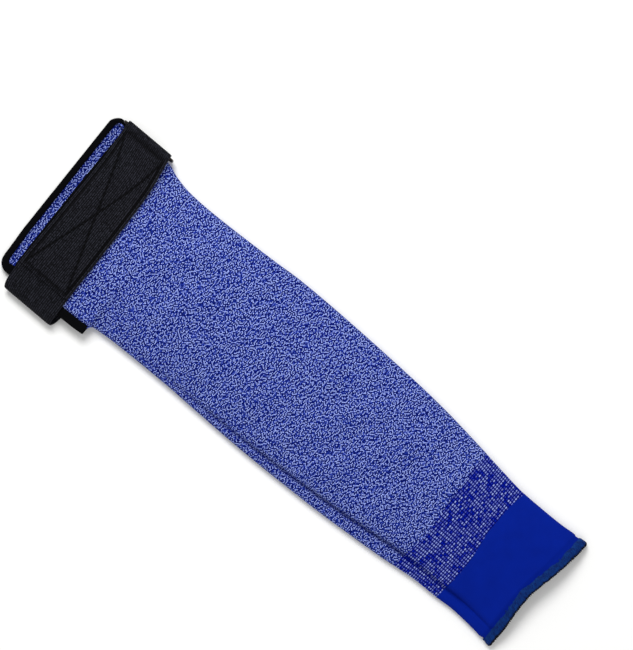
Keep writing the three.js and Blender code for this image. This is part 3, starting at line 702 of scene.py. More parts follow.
# Rib knit: as matt as the body's jersey. The dots stand as far apart as on the real band, so the eye
# gets even rows of bright points on dark blue.
def rib_tree(name):
    """Dots as bricks without offset, one rib wide and one stitch high; a noise varies how bright each is.
    The blue between them is low, as the sides of the ribs are."""
    material, tree = new_material(name)
    uv = add(tree, "UVMap", uv_map="UVMap")
    brick = add(tree, "TexBrick", {
        "Vector": uv, "Color1": (0, 0, 0, 1), "Color2": (1, 1, 1, 1), "Mortar": (0, 0, 0, 1),
        "Scale": 1.0, "Mortar Size": dot_gap, "Mortar Smooth": 0.8, "Brick Width": rib_width,
        "Row Height": dot_height}, offset=0.0, squash=1.0)
    strand = add(tree, "TexNoise", {"Vector": uv, "Scale": dot_scale, "Detail": 3.0})
    soft = add(tree, "Math", {0: strand, 1: dot_noise}, operation="MULTIPLY")
    bright = add(tree, "Math", {0: brick, 1: dot_weight, 2: soft}, operation="MULTIPLY_ADD")
    level = add(tree, "MapRange", {"Value": bright, "From Min": 0.28, "From Max": 0.68})
    dots = add(tree, "Mix", {"Factor": level, "A": srgb(rib_dark_dot), "B": srgb(rib_dot)},
               data_type="RGBA")
    mix = add(tree, "Mix", {"Factor": brick.outputs["Fac"], "A": dots, "B": srgb(rib_ground)},
              data_type="RGBA")
    height = add(tree, "Math", {0: brick.outputs["Fac"], 1: -1.0, 2: strand}, operation="MULTIPLY_ADD")
    bump = add(tree, "Bump", {"Height": height, "Strength": 0.6, "Distance": yarn_relief})
    shader = add(tree, "BsdfPrincipled", {
        "Base Color": mix, "Roughness": 0.9, "Specular IOR Level": 0.04, "Normal": bump})
    add(tree, "OutputMaterial", {"Surface": shader})
    return material


rib_zone, rib_t = net_columns(fine_zones)
rib_around = run_along(skin(rib_zone, rib_t, [[knit_length + rib_length / 2]])[0])
rib_width = rib_around[-1] / round(rib_around[-1] / rib_pitch)
rib_stations = np.linspace(knit_length, knit_length + rib_length, int(rib_length / row_step))[:, None]
rib_share = (rib_stations - knit_length) / rib_length
rib_y = skin(rib_zone, rib_t, rib_stations)[..., 1]
rib_s = rib_stations + seam_wave("start", rib_y) * (1 - rib_share) + seam_wave("end", rib_y) * rib_share
rib_net = skin(rib_zone, rib_t, rib_s)
rib_shut = np.full(len(rib_stations), True)
rib_is_upper = rib_zone > zone_number["ring_over"]
rib_net[..., 2] -= np.where(rib_is_upper, crease_line(rib_s, rib_net[..., 1]), 0)
rib_net[:, -1] = rib_net[:, 0]
rib_wave = 0.5 - 0.5 * np.cos(2 * np.pi * rib_around / rib_width)
rib_sink = (rib_depth * (1 - rib_wave) ** 1.5)[None, :, None]
rib_normals = normals_of(rib_net, rib_shut)
rib_uv = np.stack(np.broadcast_arrays(rib_around[None], rib_net[..., 0]), axis=-1)
two_faces("rib_band_knit", rib_net - rib_normals * rib_sink, rib_net - rib_normals * (wall + rib_sink / 2),
          rib_uv, rib_shut, rib_tree("rib_knit"), ["rib_band"])


# The cuff: a fine, plain jersey in royal blue, sewn on as the sleeve's last stretch. It is thinner than
# the body, so it shows soft slanting folds, and it ends in the hem.
cuff_colour = "#001d8b"
cuff_shade = "#00187b"
cuff_stitch = 0.9
cuff_stitch_gap = 0.12
cuff_cloud_scale = 0.08
cuff_relief = 0.0002
cuff_fade = (3, 14)
hem_width = 7
hem_thickness = 0.7
hem_drift = 7
hem_sink_run = 2
hem_stack = hem_thickness + seam_gap
hem_wave = np.array([
    (-1.0, 0.1), (-0.7, 0.05), (-0.3, -0.2), (0.0, -0.1), (0.35, 0.4), (0.8, 0.9), (1.0, 1.0),
], dtype=[("along", float), ("out", float)])


def hem_out(y):
    """How far the hem runs out beyond the cuff's length at y."""
    return hem_drift * read(hem_wave, "out", 2 * y / wrist_width)


# Folds of the cuff: s and y of each one's middle, how far it leans, its height and its width
cuff_fold_lines = [(414, 20, 0.55, 0.7, 7), (424, -14, -0.35, 0.6, 9), (436, 26, 0.9, 0.7, 6),
                   (446, -30, 0.2, 0.6, 7)]
cuff_fold_length = 30


def cuff_folds(s, y):
    """Slanting folds of the cuff: ridges exp(-(d / width) ** 2) on straight lines, d the way from one."""
    total = 0
    for at_s, at_y, lean, rise, width in cuff_fold_lines:
        off = ((s - at_s) - lean * (y - at_y)) / np.hypot(1, lean)
        ends = np.exp(-((y - at_y) / cuff_fold_length) ** 2)
        total = total + rise * np.exp(-(off / width) ** 2) * ends
    return total


# Plain jersey: its stitches are too fine to tell apart, so it looks like one smooth matt blue with faint
# clouds in it. They are drawn 0.9 mm wide, as a fine jersey's are, and in low relief.
cuff_jersey, tree = new_material("plain_jersey")
uv = add(tree, "UVMap", uv_map="UVMap")
brick = add(tree, "TexBrick", {
    "Vector": uv, "Scale": 1.0, "Mortar Size": cuff_stitch_gap, "Mortar Smooth": 1.0,
    "Brick Width": cuff_stitch, "Row Height": cuff_stitch}, offset=0.5, squash=1.0)
cloud = add(tree, "TexNoise", {"Vector": uv, "Scale": cuff_cloud_scale, "Detail": 4.0})
mix = add(tree, "Mix", {"Factor": cloud, "A": srgb(cuff_shade), "B": srgb(cuff_colour)}, data_type="RGBA")
bump = add(tree, "Bump", {"Height": brick.outputs["Fac"], "Strength": 0.35, "Distance": cuff_relief},
           invert=True)
shader = add(tree, "BsdfPrincipled", {
    "Base Color": mix, "Roughness": 0.85, "Specular IOR Level": 0.06, "Normal": bump})
add(tree, "OutputMaterial", {"Surface": shader})

cuff_start = knit_length + rib_length
cuff_end = sleeve_length - hem_stack
cuff_stations = np.linspace(cuff_start, cuff_end, int(cuff_length / row_step))[:, None]
cuff_share = (cuff_stations - cuff_start) / (cuff_end - cuff_start)
cuff_y = skin_at(cuff_stations)[..., 1]
from_rib = (1 - cuff_share) ** 2 * seam_wave("end", cuff_y)
cuff_s = cuff_stations + cuff_share ** 2 * hem_out(cuff_y) + from_rib
cuff_net = skin_at(cuff_s)
cuff_shut = np.full(len(cuff_stations), True)
fold_fade = ease(wrist_width / 2 - np.abs(cuff_net[..., 1]), *cuff_fade)
cuff_net[..., 2] += np.where(is_upper, cuff_folds(cuff_s, cuff_net[..., 1]) * fold_fade, 0)
cuff_net[..., 2] -= np.where(is_upper, crease_line(cuff_s, cuff_net[..., 1]), 0)
cuff_net[:, -1] = cuff_net[:, 0]
hem_start = cuff_end - hem_width
cuff_sink = (hem_stack * ease(cuff_stations, hem_start - hem_sink_run, hem_start))[..., None]
cuff_normals = normals_of(cuff_net, cuff_shut)
cuff_uv = np.stack([row_lengths(cuff_net), cuff_s], axis=-1)
two_faces("wrist_cuff_cloth", cuff_net - cuff_normals * cuff_sink,
          cuff_net - cuff_normals * (wall + cuff_sink), cuff_uv, cuff_shut, cuff_jersey,
          ["wrist_cuff"])


# The hem: the cuff's raw edge, turned once and covered all round by a three thread overlock in dark navy.
# The threads lie over the edge as slanting loops, drawn tighter here and looser there.
hem_colour = "#00144c"
hem_light = "#06387e"
hem_edge = "#010206"
hem_edge_reach = 1.7
hem_edge_fade = 1.2
hem_mottle_scale = 0.35
hem_relief = 0.0003
hem_bend = 1.5
hem_leg_rows = 6
turn_rows = 7
end_thinning = 0.4


def fold_profile(width, bend, web, thickness, depth, leg_rows):
    """A strip folded over an edge, as ways (inwards, down) of its outer and inner face: two straight legs
    and between them a half ellipse outside, a straight web inside."""
    leg = np.linspace(width, bend, leg_rows)
    inner_leg = np.linspace(width, web, leg_rows)
    turn = np.linspace(-np.pi / 2, np.pi / 2, turn_rows + 2)[1:-1]
    outer_in = np.concatenate([leg, bend * (1 - np.cos(turn)), leg[::-1]])
    outer_down = np.concatenate([0 * leg, depth / 2 * (1 + np.sin(turn)), 0 * leg + depth])
    inner_in = np.concatenate([inner_leg, 0 * turn + web, inner_leg[::-1]])
    inner_down = np.concatenate([0 * leg + thickness, depth / 2 + (depth / 2 - thickness) * np.sin(turn),
                                 0 * leg + depth - thickness])
    outer_down[[0, -1]] += np.array([1, -1]) * thickness * end_thinning
    return np.stack([outer_in, outer_down], axis=-1), np.stack([inner_in, inner_down], axis=-1)


hem_depth = hem_stack * 2 + wall
hem_outer, hem_inner = fold_profile(
    hem_width, hem_bend, hem_thickness, hem_thickness, hem_depth, hem_leg_rows)
hem_profile_run = run_along(hem_outer)

# Overlock thread: fluffy textured yarn, matt and mottled, and near black where it turns round the edge
hem_yarn, tree = new_material("overlock_thread")
uv = add(tree, "UVMap", uv_map="UVMap")
cloud = add(tree, "TexNoise", {
    "Vector": uv, "Scale": hem_mottle_scale, "Detail": 4.0, "Roughness": 0.7})
level = add(tree, "MapRange", {"Value": cloud, "From Min": 0.35, "From Max": 0.7})
mix = add(tree, "Mix", {"Factor": level, "A": srgb(hem_colour), "B": srgb(hem_light)}, data_type="RGBA")
across = add(tree, "SeparateXYZ", {"Vector": uv}).outputs["X"]
beside = add(tree, "Math", {0: across, 1: hem_profile_run[-1] / 2}, operation="SUBTRACT")
from_edge = add(tree, "Math", {0: beside}, operation="ABSOLUTE")
at_edge = add(tree, "MapRange", {
    "Value": from_edge, "From Min": hem_edge_reach, "From Max": hem_edge_reach + hem_edge_fade})
edged = add(tree, "Mix", {"Factor": at_edge, "A": srgb(hem_edge), "B": mix}, data_type="RGBA")
bump = add(tree, "Bump", {"Height": cloud, "Strength": 0.5, "Distance": hem_relief})
shader = add(tree, "BsdfPrincipled", {
    "Base Color": edged, "Roughness": 0.8, "Specular IOR Level": 0.12, "Normal": bump})
add(tree, "OutputMaterial", {"Surface": shader})

# Sines that make the hem's width uneven, as share of the width and length, and the fray of its edge
uneven_width = [(0.04, 2.9), (0.06, 5.3), (0.05, 9.7)]
fray = 0.22
fray_length = 1.9
fray_drift = 7


def hem_net(profile):
    """The hem's net: a row for each place of the profile, taken inwards from the wavy edge and sunk. Its
    width is 1 plus share sin(u / length) of each sine, u the way round."""
    edge_y = skin_at([[sleeve_length]])[..., 1]
    uneven = 1 + sum(share * np.sin(around / length) for share, length in uneven_width)[None]
    frayed = fray * np.sin(around / fray_length + 2 * np.sin(around / fray_drift))[None]
    edge_s = sleeve_length + hem_out(edge_y) + frayed
    points = skin_at(edge_s - profile[:, :1] * uneven)
    points[:, -1] = points[:, 0]
    normal = normals_of(points, np.full(len(profile), True))
    return points - normal * profile[:, 1:, None]


hem_points = hem_net(hem_outer)
hem_back = hem_net(hem_inner)
hem_uv = np.stack(np.broadcast_arrays(hem_profile_run[:, None], around[None]), axis=-1)
two_faces("cuff_hem_base", hem_points, hem_back, hem_uv, np.full(len(hem_outer), True), hem_yarn,
          ["cuff_hem"])

# The loops are drawn 0.6 mm thick, about twice as thick as such thread is, so that they show at the edge
loop_pitch = 1.6
loop_radius = 0.3
loop_lean = 1.4
loop_sides = 6
loop_stand = 0.12
loop_shift = 0.35
loop_sizes = (0.84, 1.12)
normal_reach = 0.3
thread_shift = 1.7
zone_counts = np.array([count for _, count in zones])
hem_middle = hem_points[len(hem_outer) // 2]
hem_run = run_along(hem_middle)


def hem_place(run, inward, down):
    """Points on the hem: run is the way round it, inward the way in from its edge, down the depth. The
    normal is square to the skin's own way from a little before the point to a little after it."""
    spots = []
    for step in (-normal_reach, normal_reach, 0):
        index = np.interp((run + step) % hem_run[-1], hem_run, np.arange(len(zone)))
        column = np.minimum(index.astype(int), len(zone) - 2)
        t = place_in_zone[column] + (index - column) / zone_counts[zone[column]]
        edge_y = skin(zone[column], t, sleeve_length)[..., 1]
        spots.append(skin(zone[column], t, sleeve_length + hem_out(edge_y) - inward))
    way = spots[1] - spots[0]
    normal = np.stack([0 * way[..., 0], way[..., 2], -way[..., 1]], axis=-1)
    normal = normal / np.linalg.norm(normal, axis=-1, keepdims=True)
    return spots[2] - normal * np.broadcast_to(down, run.shape)[..., None], way


def tube_mesh(name, paths, side_way, radius, sides, closed, material, nodes=()):
    """Round threads along many paths: rings of one radius in the plane of side_way and of its cross
    product with the path's own way. Open ones are closed at their ends by flat fans of faces. Each has
    its own stretch of the pattern, thread_shift beyond the one before."""
    side_way = side_way / np.linalg.norm(side_way, axis=-1, keepdims=True)
    way = np.roll(paths, -1, axis=1) - np.roll(paths, 1, axis=1) if closed else np.gradient(paths, axis=1)
    across = np.cross(way, side_way)
    across = across / np.linalg.norm(across, axis=-1, keepdims=True)
    angle = np.arange(sides) * 2 * np.pi / sides
    ring = (np.cos(angle)[:, None] * across[..., None, :] + np.sin(angle)[:, None] * side_way[..., None, :])
    points = paths[..., None, :] + radius * ring
    number = np.arange(points[..., 0].size).reshape(points.shape[:3])
    beside = np.roll(number, -1, axis=2)
    if closed:
        ahead, beside_ahead = np.roll(number, -1, axis=1), np.roll(beside, -1, axis=1)
        faces = np.stack([number, beside, beside_ahead, ahead], axis=-1).reshape(-1, 4)
    else:
        walls = np.stack([number[:, :-1], beside[:, :-1], beside[:, 1:], number[:, 1:]], axis=-1)
        fans = [walls.reshape(-1, 4)]
        for k in range(1, sides - 2, 2):
            fans.append(number[:, 0][:, [k + 2, k + 1, k, 0]])
            fans.append(number[:, -1][:, [0, k, k + 1, k + 2]])
        faces = np.concatenate(fans)
    run = run_along(paths, 1)
    apart = np.arange(len(paths))[:, None, None] * thread_shift
    uv = np.stack(np.broadcast_arrays(run[..., None], angle * radius + apart), axis=-1)
    return put_mesh(name, points, faces, uv, material, nodes)


hem_way = np.gradient(hem_outer, axis=0)
hem_way = hem_way / np.linalg.norm(hem_way, axis=-1, keepdims=True)
loop_profile = hem_outer + loop_stand * np.stack([-hem_way[:, 1], hem_way[:, 0]], axis=-1)
loop_count = int(hem_run[-1] / loop_pitch)
loop_run = np.arange(loop_count) * hem_run[-1] / loop_count
loop_run = loop_run + rng.uniform(-loop_shift, loop_shift, loop_count)
loop_share = np.linspace(-1, 1, len(hem_outer))
loop_size = rng.uniform(*loop_sizes, loop_count)
loop_at = loop_run[:, None] + loop_lean * loop_share[None] ** 3
loop_in = loop_profile[None, :, 0] * loop_size[:, None]
loop_paths, loop_side = hem_place(loop_at, loop_in, loop_profile[None, :, 1])
loop_paths[..., 2] = np.maximum(loop_paths[..., 2], loop_radius)
tube_mesh("cuff_hem_loops", loop_paths, loop_side, loop_radius, loop_sides, False, hem_yarn)


# The tape: black, soft, finely ribbed, folded over the raw edge of the opening and of the slit, and sewn
# down with one row of stitches. It turns the slit's two corners in a small round.
tape_colour = "#010102"
tape_light = "#09090c"
tape_bend = 1.0
fold_bulge = 2.2
tape_rib = 1.3
tape_rib_groove = 0.3
tape_brick_length = 30.0
tape_grain_scale = 1.1
tape_relief = 0.0003
tape_leg_rows = 7
side_step = 1.6
corner_steps = 9
corner_clear = 0.6

# Ribbed tape: soft polyester with ribs 1.3 mm apart across it, so dull that it looks all but black. Its
# bricks are longer than it is wide, so only the ribs show.
black_tape, tree = new_material("ribbed_tape")
uv = add(tree, "UVMap", uv_map="UVMap")
brick = add(tree, "TexBrick", {
    "Vector": uv, "Scale": 1.0, "Mortar Size": tape_rib_groove, "Mortar Smooth": 1.0,
    "Brick Width": tape_rib, "Row Height": tape_brick_length}, offset=0.0, squash=1.0)
grain = add(tree, "TexNoise", {"Vector": uv, "Scale": tape_grain_scale, "Detail": 3.0})
mix = add(tree, "Mix", {"Factor": grain, "A": srgb(tape_colour), "B": srgb(tape_light)}, data_type="RGBA")
height = add(tree, "Math", {0: brick.outputs["Fac"], 1: -1.0, 2: grain}, operation="MULTIPLY_ADD")
bump = add(tree, "Bump", {"Height": height, "Strength": 0.5, "Distance": tape_relief})
shader = add(tree, "BsdfPrincipled", {
    "Base Color": mix, "Roughness": 0.9, "Specular IOR Level": 0.05, "Normal": bump})
add(tree, "OutputMaterial", {"Surface": shader})

tape_depth = tape_stack * 2 + wall


def slit_side(upper):
    """The tape beside the slit, from its end to the mouth: its edge's places, the way inwards, and how
    wide it is there (1 the slit's width, 0 the mouth's), straight first and then a quarter turn."""
    layer = zone_number["strip" if upper else "edge_under"]
    start = mouth_line(np.array(layer), 0.0, -tape_edge(0)) + corner_radius
    straight = np.linspace(slit_length, start, int((slit_length - start) / side_step))[:-1]
    angle = np.linspace(np.pi / 2, 0, corner_steps)
    s = np.concatenate([straight, start - corner_radius * np.cos(angle)])
    y = np.concatenate([-tape_edge(straight), corner_radius * (1 - np.sin(angle)) - tape_edge(start)])
    inwards = np.stack([np.concatenate([0 * straight, np.cos(angle)]),
                        np.concatenate([0 * straight + 1, np.sin(angle)])], axis=-1)
    wide = np.concatenate([0 * straight + 1, angle / (np.pi / 2)])
    return s, y, inwards, wide


def slit_side_net(profile_slit, profile_mouth, upper):
    """The tape's net beside the slit: each place of the profile, carried inwards from the edge and down,
    square to the upper layer's slope over 1 mm."""
    s, y, inwards, wide = slit_side(upper)
    profile = profile_mouth[:, None] + (profile_slit - profile_mouth)[:, None] * wide[None, :, None]
    at_s = s + inwards[:, 0] * profile[..., 0]
    at_y = y + inwards[:, 1] * profile[..., 0]
    if not upper:
        return np.stack([at_s, at_y, patch_lift(at_s, at_y) + profile[..., 1]], axis=-1)
    lean = upper_face(at_s, at_y + 0.5, True) - upper_face(at_s, at_y - 0.5, True)
    length = np.hypot(lean, 1)
    z = upper_face(at_s, at_y, True)
    return np.stack([at_s, at_y + profile[..., 1] * lean / length, z - profile[..., 1] / length], axis=-1)


def mouth_net(profile):
    """The tape's net round the mouth: each place of the profile, taken along the skin from the edge."""
    start = skin_at([[0.0]])[..., 1]
    points = skin_at(mouth_line(zone, place_in_zone, start) + profile[:, :1])
    in_turn = (zone == zone_number["ring_under"]) + 0.0
    bulge = ease(place_in_zone, 0, 1) * in_turn
    bulge = bulge + (1 - ease(place_in_zone, 0, 1)) * (zone == zone_number["ring_over"])
    points[..., 1] += fold_bulge * bulge
    normal = normals_of(points, np.full(len(profile), False))
    level = start[0] > corner_radius - tape_edge(0) + corner_clear
    return (points - normal * profile[:, 1:, None])[:, level]


def tape_net(profiles):
    """The whole tape: up the slit's lower layer, round the mouth and back down the upper one."""
    slit_profile, mouth_profile = profiles
    lower = slit_side_net(slit_profile, mouth_profile, False)
    upper = slit_side_net(slit_profile, mouth_profile, True)
    return np.concatenate([lower, mouth_net(mouth_profile), upper[:, ::-1]], axis=1)


slit_profiles = fold_profile(
    slit_tape_width, tape_bend, slit_tape_web, tape_thickness, tape_depth, tape_leg_rows)
mouth_profiles = fold_profile(
    mouth_tape_width, tape_bend, tape_thickness, tape_thickness, tape_depth, tape_leg_rows)
tape_outer = tape_net((slit_profiles[0], mouth_profiles[0]))
tape_inner = tape_net((slit_profiles[1], mouth_profiles[1]))
tape_run = run_along(tape_outer[tape_leg_rows - 1])
tape_across = run_along(slit_profiles[0])
tape_uv = np.stack(np.broadcast_arrays(tape_run[None], tape_across[:, None]), axis=-1)
two_faces("opening_binding_tape", tape_outer, tape_inner, tape_uv, np.full(len(tape_outer), False),
          black_tape, ["opening_binding"])


# The strap: one length of black polyester webbing, woven with fine ribs along it. It is sewn as a patch
# under the slit's side, folds round beyond the slit, crosses the front, turns round the ring's outer bar
# and comes back over itself, where a crossed box of stitches holds it.
strap_fold_reach = 8.6
flap_reach = 14
flap_settle = 24
ring_length = 47
ring_wire = 2.6
ring_rise = 11
ring_floor = 3.2
tab_width = 25
tab_reach = 22
tab_lead = 5
tab_slope = 11
web_pitch = 1.6
web_pick = 1.0
web_gap = 0.22
web_relief = 0.13
web_pick_relief = 0.00025
web_grain_scale = 0.9
pick_weight = 0.35
web_gap_weight = -0.3
rib_steps = 5
edge_thinning = 0.45
edge_power = 24
# Painted shade: rib_shade is how far the valleys between the ribs are darkened towards near black
rib_shade = 0.42
web_colour = "#030305"
web_light = "#30313a"
web_painted_shade = "#000001"
fold_start = 0.85
fold_end = 1.12
ring_start = 1.97


def front_under(y):
    """The highest skin under the strap at y, of four places across it."""
    across = (strap_start + (strap_end - strap_start) * np.array([0.1, 0.4, 0.7, 1.0]))[:, None]
    return upper_face(across, np.minimum(y, ring_edge(across) - fold_inset), True).max(axis=0)


front_edge_y = ring_edge(ring_centre_s) - fold_inset
tab_start_y = front_edge_y + fold_inset - tab_reach


def lower_layer(y):
    """Middle of the strap's lower layer over the front, with its climb over the tab."""
    over_tab = ease(y, tab_start_y - tab_lead - tab_slope, tab_start_y - tab_lead)
    return front_under(y) + seam_gap + strap_thickness / 2 + (tab_thickness + seam_gap) * over_tab


bar_turn = ring_wire / 2 + seam_gap + strap_thickness / 2
ring_top = lower_layer(np.array([front_edge_y]))[0] + bar_turn
ring_bottom = max(ring_floor, ring_top - ring_rise)
tape_y = max(tape_edge(strap_start), tape_edge(strap_end)) + seam_gap * 2
strap_step = 1.5
patch_steps = 26
fold_steps = 21
turn_steps = 15
layer_gap = 0.05
flap_end = flap_reach - tape_y
flap_lift = strap_thickness + layer_gap


def along_front(y):
    """Place of y in strap_run's table over the front: straight from the fold's end to the ring."""
    return fold_end + (ring_start - fold_end) * (y + tape_y) / (front_edge_y + tape_y)


def flap_middle(y):
    """Middle of the strap's upper layer: on the lower one, and lifted off it near the ring by its bar."""
    spread = (bar_turn * 2 - flap_lift) * ease(y, front_edge_y - flap_settle, front_edge_y)
    return lower_layer(y) + flap_lift + spread


# The strap's path, as y, z and the place in strap_run's table: patch, fold, lower layer, turn and flap
patch_y = np.linspace(-patch_end, -tape_y, patch_steps)
patch = np.stack([patch_y, 0 * patch_y + strap_thickness / 2,
                  np.linspace(0, fold_start, patch_steps)], axis=-1)
fold_angle = np.linspace(0, np.pi, fold_steps)[1:-1]
fold_half = (lower_layer(np.array([-tape_y]))[0] - strap_thickness / 2) / 2
fold = np.stack([-tape_y - (strap_fold_reach - strap_thickness / 2) * np.sin(fold_angle),
                 strap_thickness / 2 + fold_half * (1 - np.cos(fold_angle)),
                 fold_start + (fold_end - fold_start) * fold_angle / np.pi], axis=-1)
layer_y = np.linspace(-tape_y, front_edge_y, int((front_edge_y + tape_y) / strap_step))
layer = np.stack([layer_y, lower_layer(layer_y), along_front(layer_y)], axis=-1)
turn_angle = np.linspace(0, np.pi, turn_steps)
turn = np.stack([ring_y + bar_turn * np.sin(turn_angle), ring_top - bar_turn * np.cos(turn_angle),
                 0 * turn_angle + 2], axis=-1)
flap_y = np.linspace(front_edge_y, flap_end, int((front_edge_y - flap_end) / strap_step))
flap = np.stack([flap_y, flap_middle(flap_y), along_front(flap_y)], axis=-1)
strap_path = np.concatenate([patch, fold, layer, turn, flap])


def crossed_box(q0, q1, y0, y1):
    """Stitch lines of a crossed box, its four sides and two diagonals, each as (q, y) of its two ends: q
    is the place across the strap, -1 to 1."""
    corners = [(q0, y0), (q1, y0), (q1, y1), (q0, y1)]
    return [corners[i] + corners[j] for i, j in ((0, 1), (1, 2), (2, 3), (3, 0), (0, 2), (1, 3))]


flap_lines = crossed_box(-0.87, 0.86, 65, -55)
patch_lines = crossed_box(-0.86, 0.86, -61, -17)
groove_width = 0.75
groove_depth = 0.45


def groove(q, y, lines):
    """Depth pulled in by the stitches: exp(-(d / width) ** 2), d the way to the nearest stitch line."""
    nearest = np.full(np.broadcast_shapes(q.shape, y.shape), 1e3)
    for q0, y0, q1, y1 in lines:
        a = np.array([q0 * strap_width / 2, y0])
        b = np.array([q1 * strap_width / 2, y1]) - a
        along = np.clip(((q * strap_width / 2 - a[0]) * b[0] + (y - a[1]) * b[1]) / (b @ b), 0, 1)
        gap = np.hypot(q * strap_width / 2 - a[0] - along * b[0], y - a[1] - along * b[1])
        nearest = np.minimum(nearest, gap)
    return groove_depth * np.exp(-(nearest / groove_width) ** 2)


# Polyester webbing: smooth yarn with a faint silky shine, grey on top of its ribs and black between them;
# the ribs' valleys and the stitch lines are darkened further by painted shade from the shade attribute.
# The ribs are drawn 1.6 mm apart, a little coarser than such webbing's, so that they show.
black_webbing, tree = new_material("polyester_webbing")
uv = add(tree, "UVMap", uv_map="UVMap")
brick = add(tree, "TexBrick", {
    "Vector": uv, "Color1": (0, 0, 0, 1), "Color2": (1, 1, 1, 1), "Mortar": (0, 0, 0, 1), "Scale": 1.0,
    "Mortar Size": web_gap, "Mortar Smooth": 1.0, "Brick Width": web_pitch, "Row Height": web_pick},
    offset=0.0, squash=1.0)
grain = add(tree, "TexNoise", {"Vector": uv, "Scale": web_grain_scale, "Detail": 3.0})
grey = add(tree, "Math", {0: brick, 1: pick_weight, 2: grain}, operation="MULTIPLY_ADD")
lit = add(tree, "Math", {0: brick.outputs["Fac"], 1: web_gap_weight, 2: grey}, operation="MULTIPLY_ADD")
level = add(tree, "MapRange", {"Value": lit, "From Min": 0.36, "From Max": 0.86})
yarn = add(tree, "Mix", {"Factor": level, "A": srgb(web_colour), "B": srgb(web_light)}, data_type="RGBA")
# Painted shade: the shade attribute mixes the yarn's colour towards near black in the stitch grooves and
# rib valleys
shade = add(tree, "Attribute", attribute_name="shade")
mix = add(tree, "Mix", {"Factor": shade.outputs["Fac"], "A": yarn, "B": srgb(web_painted_shade)},
          data_type="RGBA")
bump = add(tree, "Bump", {"Height": brick.outputs["Fac"], "Strength": 0.5, "Distance": web_pick_relief},
           invert=True)
shader = add(tree, "BsdfPrincipled", {
    "Base Color": mix, "Roughness": 0.75, "Specular IOR Level": 0.06, "Normal": bump})
add(tree, "OutputMaterial", {"Surface": shader})


def ribbon(name, path, centre, half, thickness, relief, grooves, material, nodes):
    """A strip of webbing along a path in y and z: across it q runs from -1 to 1, its faces lie half its
    thickness off the path, ribbed by cos(2 pi place / pitch), thinner towards the woven edges. Its shade
    attribute is painted shade, darker in the stitch grooves and in the valleys between the ribs."""
    columns = int(half.max() * 2 / web_pitch * rib_steps)
    q = np.linspace(-1, 1, columns + 1)[None]
    tangent = np.gradient(path, axis=0)
    normal = np.stack([-tangent[:, 1], tangent[:, 0]], axis=-1)
    normal = normal / np.linalg.norm(normal, axis=-1, keepdims=True)
    s = centre[:, None] + half[:, None] * q
    ribs = np.cos(2 * np.pi * q * half.max() / web_pitch)
    body = thickness / 2 * (1 - edge_thinning * np.abs(q) ** edge_power) + relief * ribs
    sides, painted_shades = [], []
    for side, pulled in ((1, grooves[0]), (-1, grooves[1])):
        off = side * (body - pulled)
        y = path[:, :1] + normal[:, :1] * off
        z = path[:, 1:] + normal[:, 1:] * off
        sides.append(np.stack([s, y, np.maximum(z, 0)], axis=-1))
        # Painted shade: darker along the stitch grooves and in the valleys between the ribs
        shade = np.clip(pulled / groove_depth + rib_shade * (1 - ribs), 0, 1)
        painted_shades.append(np.broadcast_to(shade, s.shape))
    uv = np.stack(np.broadcast_arrays(q * half.max() + web_pitch / 2, run_along(path)[:, None]), axis=-1)
    return two_faces(name, sides[0], sides[1], uv, np.full(len(path), False), material, nodes,
                     np.stack(painted_shades))


strap_q = np.linspace(-1, 1, int(strap_width / web_pitch * rib_steps) + 1)[None]
strap_centre = strap_inset * read(strap_run, "centre", strap_path[:, 2])
strap_half = strap_width / 2 * read(strap_run, "width", strap_path[:, 2])
on_flap = (np.arange(len(strap_path)) >= len(strap_path) - len(flap))[:, None]
on_patch = (np.arange(len(strap_path)) < len(patch))[:, None]
patch_groove = groove(strap_q, strap_path[:, :1], patch_lines) * on_patch
flap_groove = groove(strap_q, strap_path[:, :1], flap_lines) * on_flap
ribbon("strap_webbing", strap_path[:, :2], strap_centre, strap_half, strap_thickness, web_relief,
       (patch_groove, flap_groove), black_webbing, ["strap"])

# Polyester sewing thread: twisted and matt, so its stitches show as small soft bumps in the webbing's
# black. It is drawn 0.64 mm thick, stouter than such thread is, so that it shows.
stitch_pitch = 2.7
stitch_length = 2.2
stitch_radius = 0.32
stitch_points = 6
thread_sides = 6
twist_scale = 2.5
thread_arch = 1.5
under_stand = 1.9
under_arch = 0.9
thread_colour = "#020203"
thread_light = "#0b0b0e"

stitch_thread, tree = new_material("polyester_thread")
uv = add(tree, "UVMap", uv_map="UVMap")
twist = add(tree, "TexNoise", {"Vector": uv, "Scale": twist_scale, "Detail": 2.0})
mix = add(tree, "Mix", {"Factor": twist, "A": srgb(thread_colour), "B": srgb(thread_light)},
          data_type="RGBA")
shader = add(tree, "BsdfPrincipled", {"Base Color": mix, "Roughness": 0.7, "Specular IOR Level": 0.08})
add(tree, "OutputMaterial", {"Surface": shader})


def stitches_on(lines):
    """Stitches along each line: q, y and arch (0 at a stitch's ends, 1 on top of it) of their points."""
    found = []
    for q0, y0, q1, y1 in lines:
        length = np.hypot((q1 - q0) * strap_width / 2, y1 - y0)
        count = int(length / stitch_pitch)
        middle = (np.arange(count) + 0.5)[:, None] * length / count
        along = (middle + stitch_length * np.linspace(-0.5, 0.5, stitch_points)[None]) / length
        arch = np.broadcast_to(np.sqrt(1 - np.linspace(-0.95, 0.95, stitch_points)[None] ** 2), along.shape)
        found.append(np.stack([q0 + (q1 - q0) * along, y0 + (y1 - y0) * along, arch], axis=-1))
    return np.moveaxis(np.concatenate(found), -1, 0)


def sew(name, q, y, z, along):
    """Threads on the strap, at its centre at a place along it plus q times half its width there."""
    s = strap_inset * read(strap_run, "centre", along)
    s = s + strap_width / 2 * read(strap_run, "width", along) * q
    paths = np.stack([s, y, z], axis=-1)
    upwards = np.zeros_like(paths) + [0, 0, 1.0]
    tube_mesh(name, paths, upwards, stitch_radius, thread_sides, False, stitch_thread)


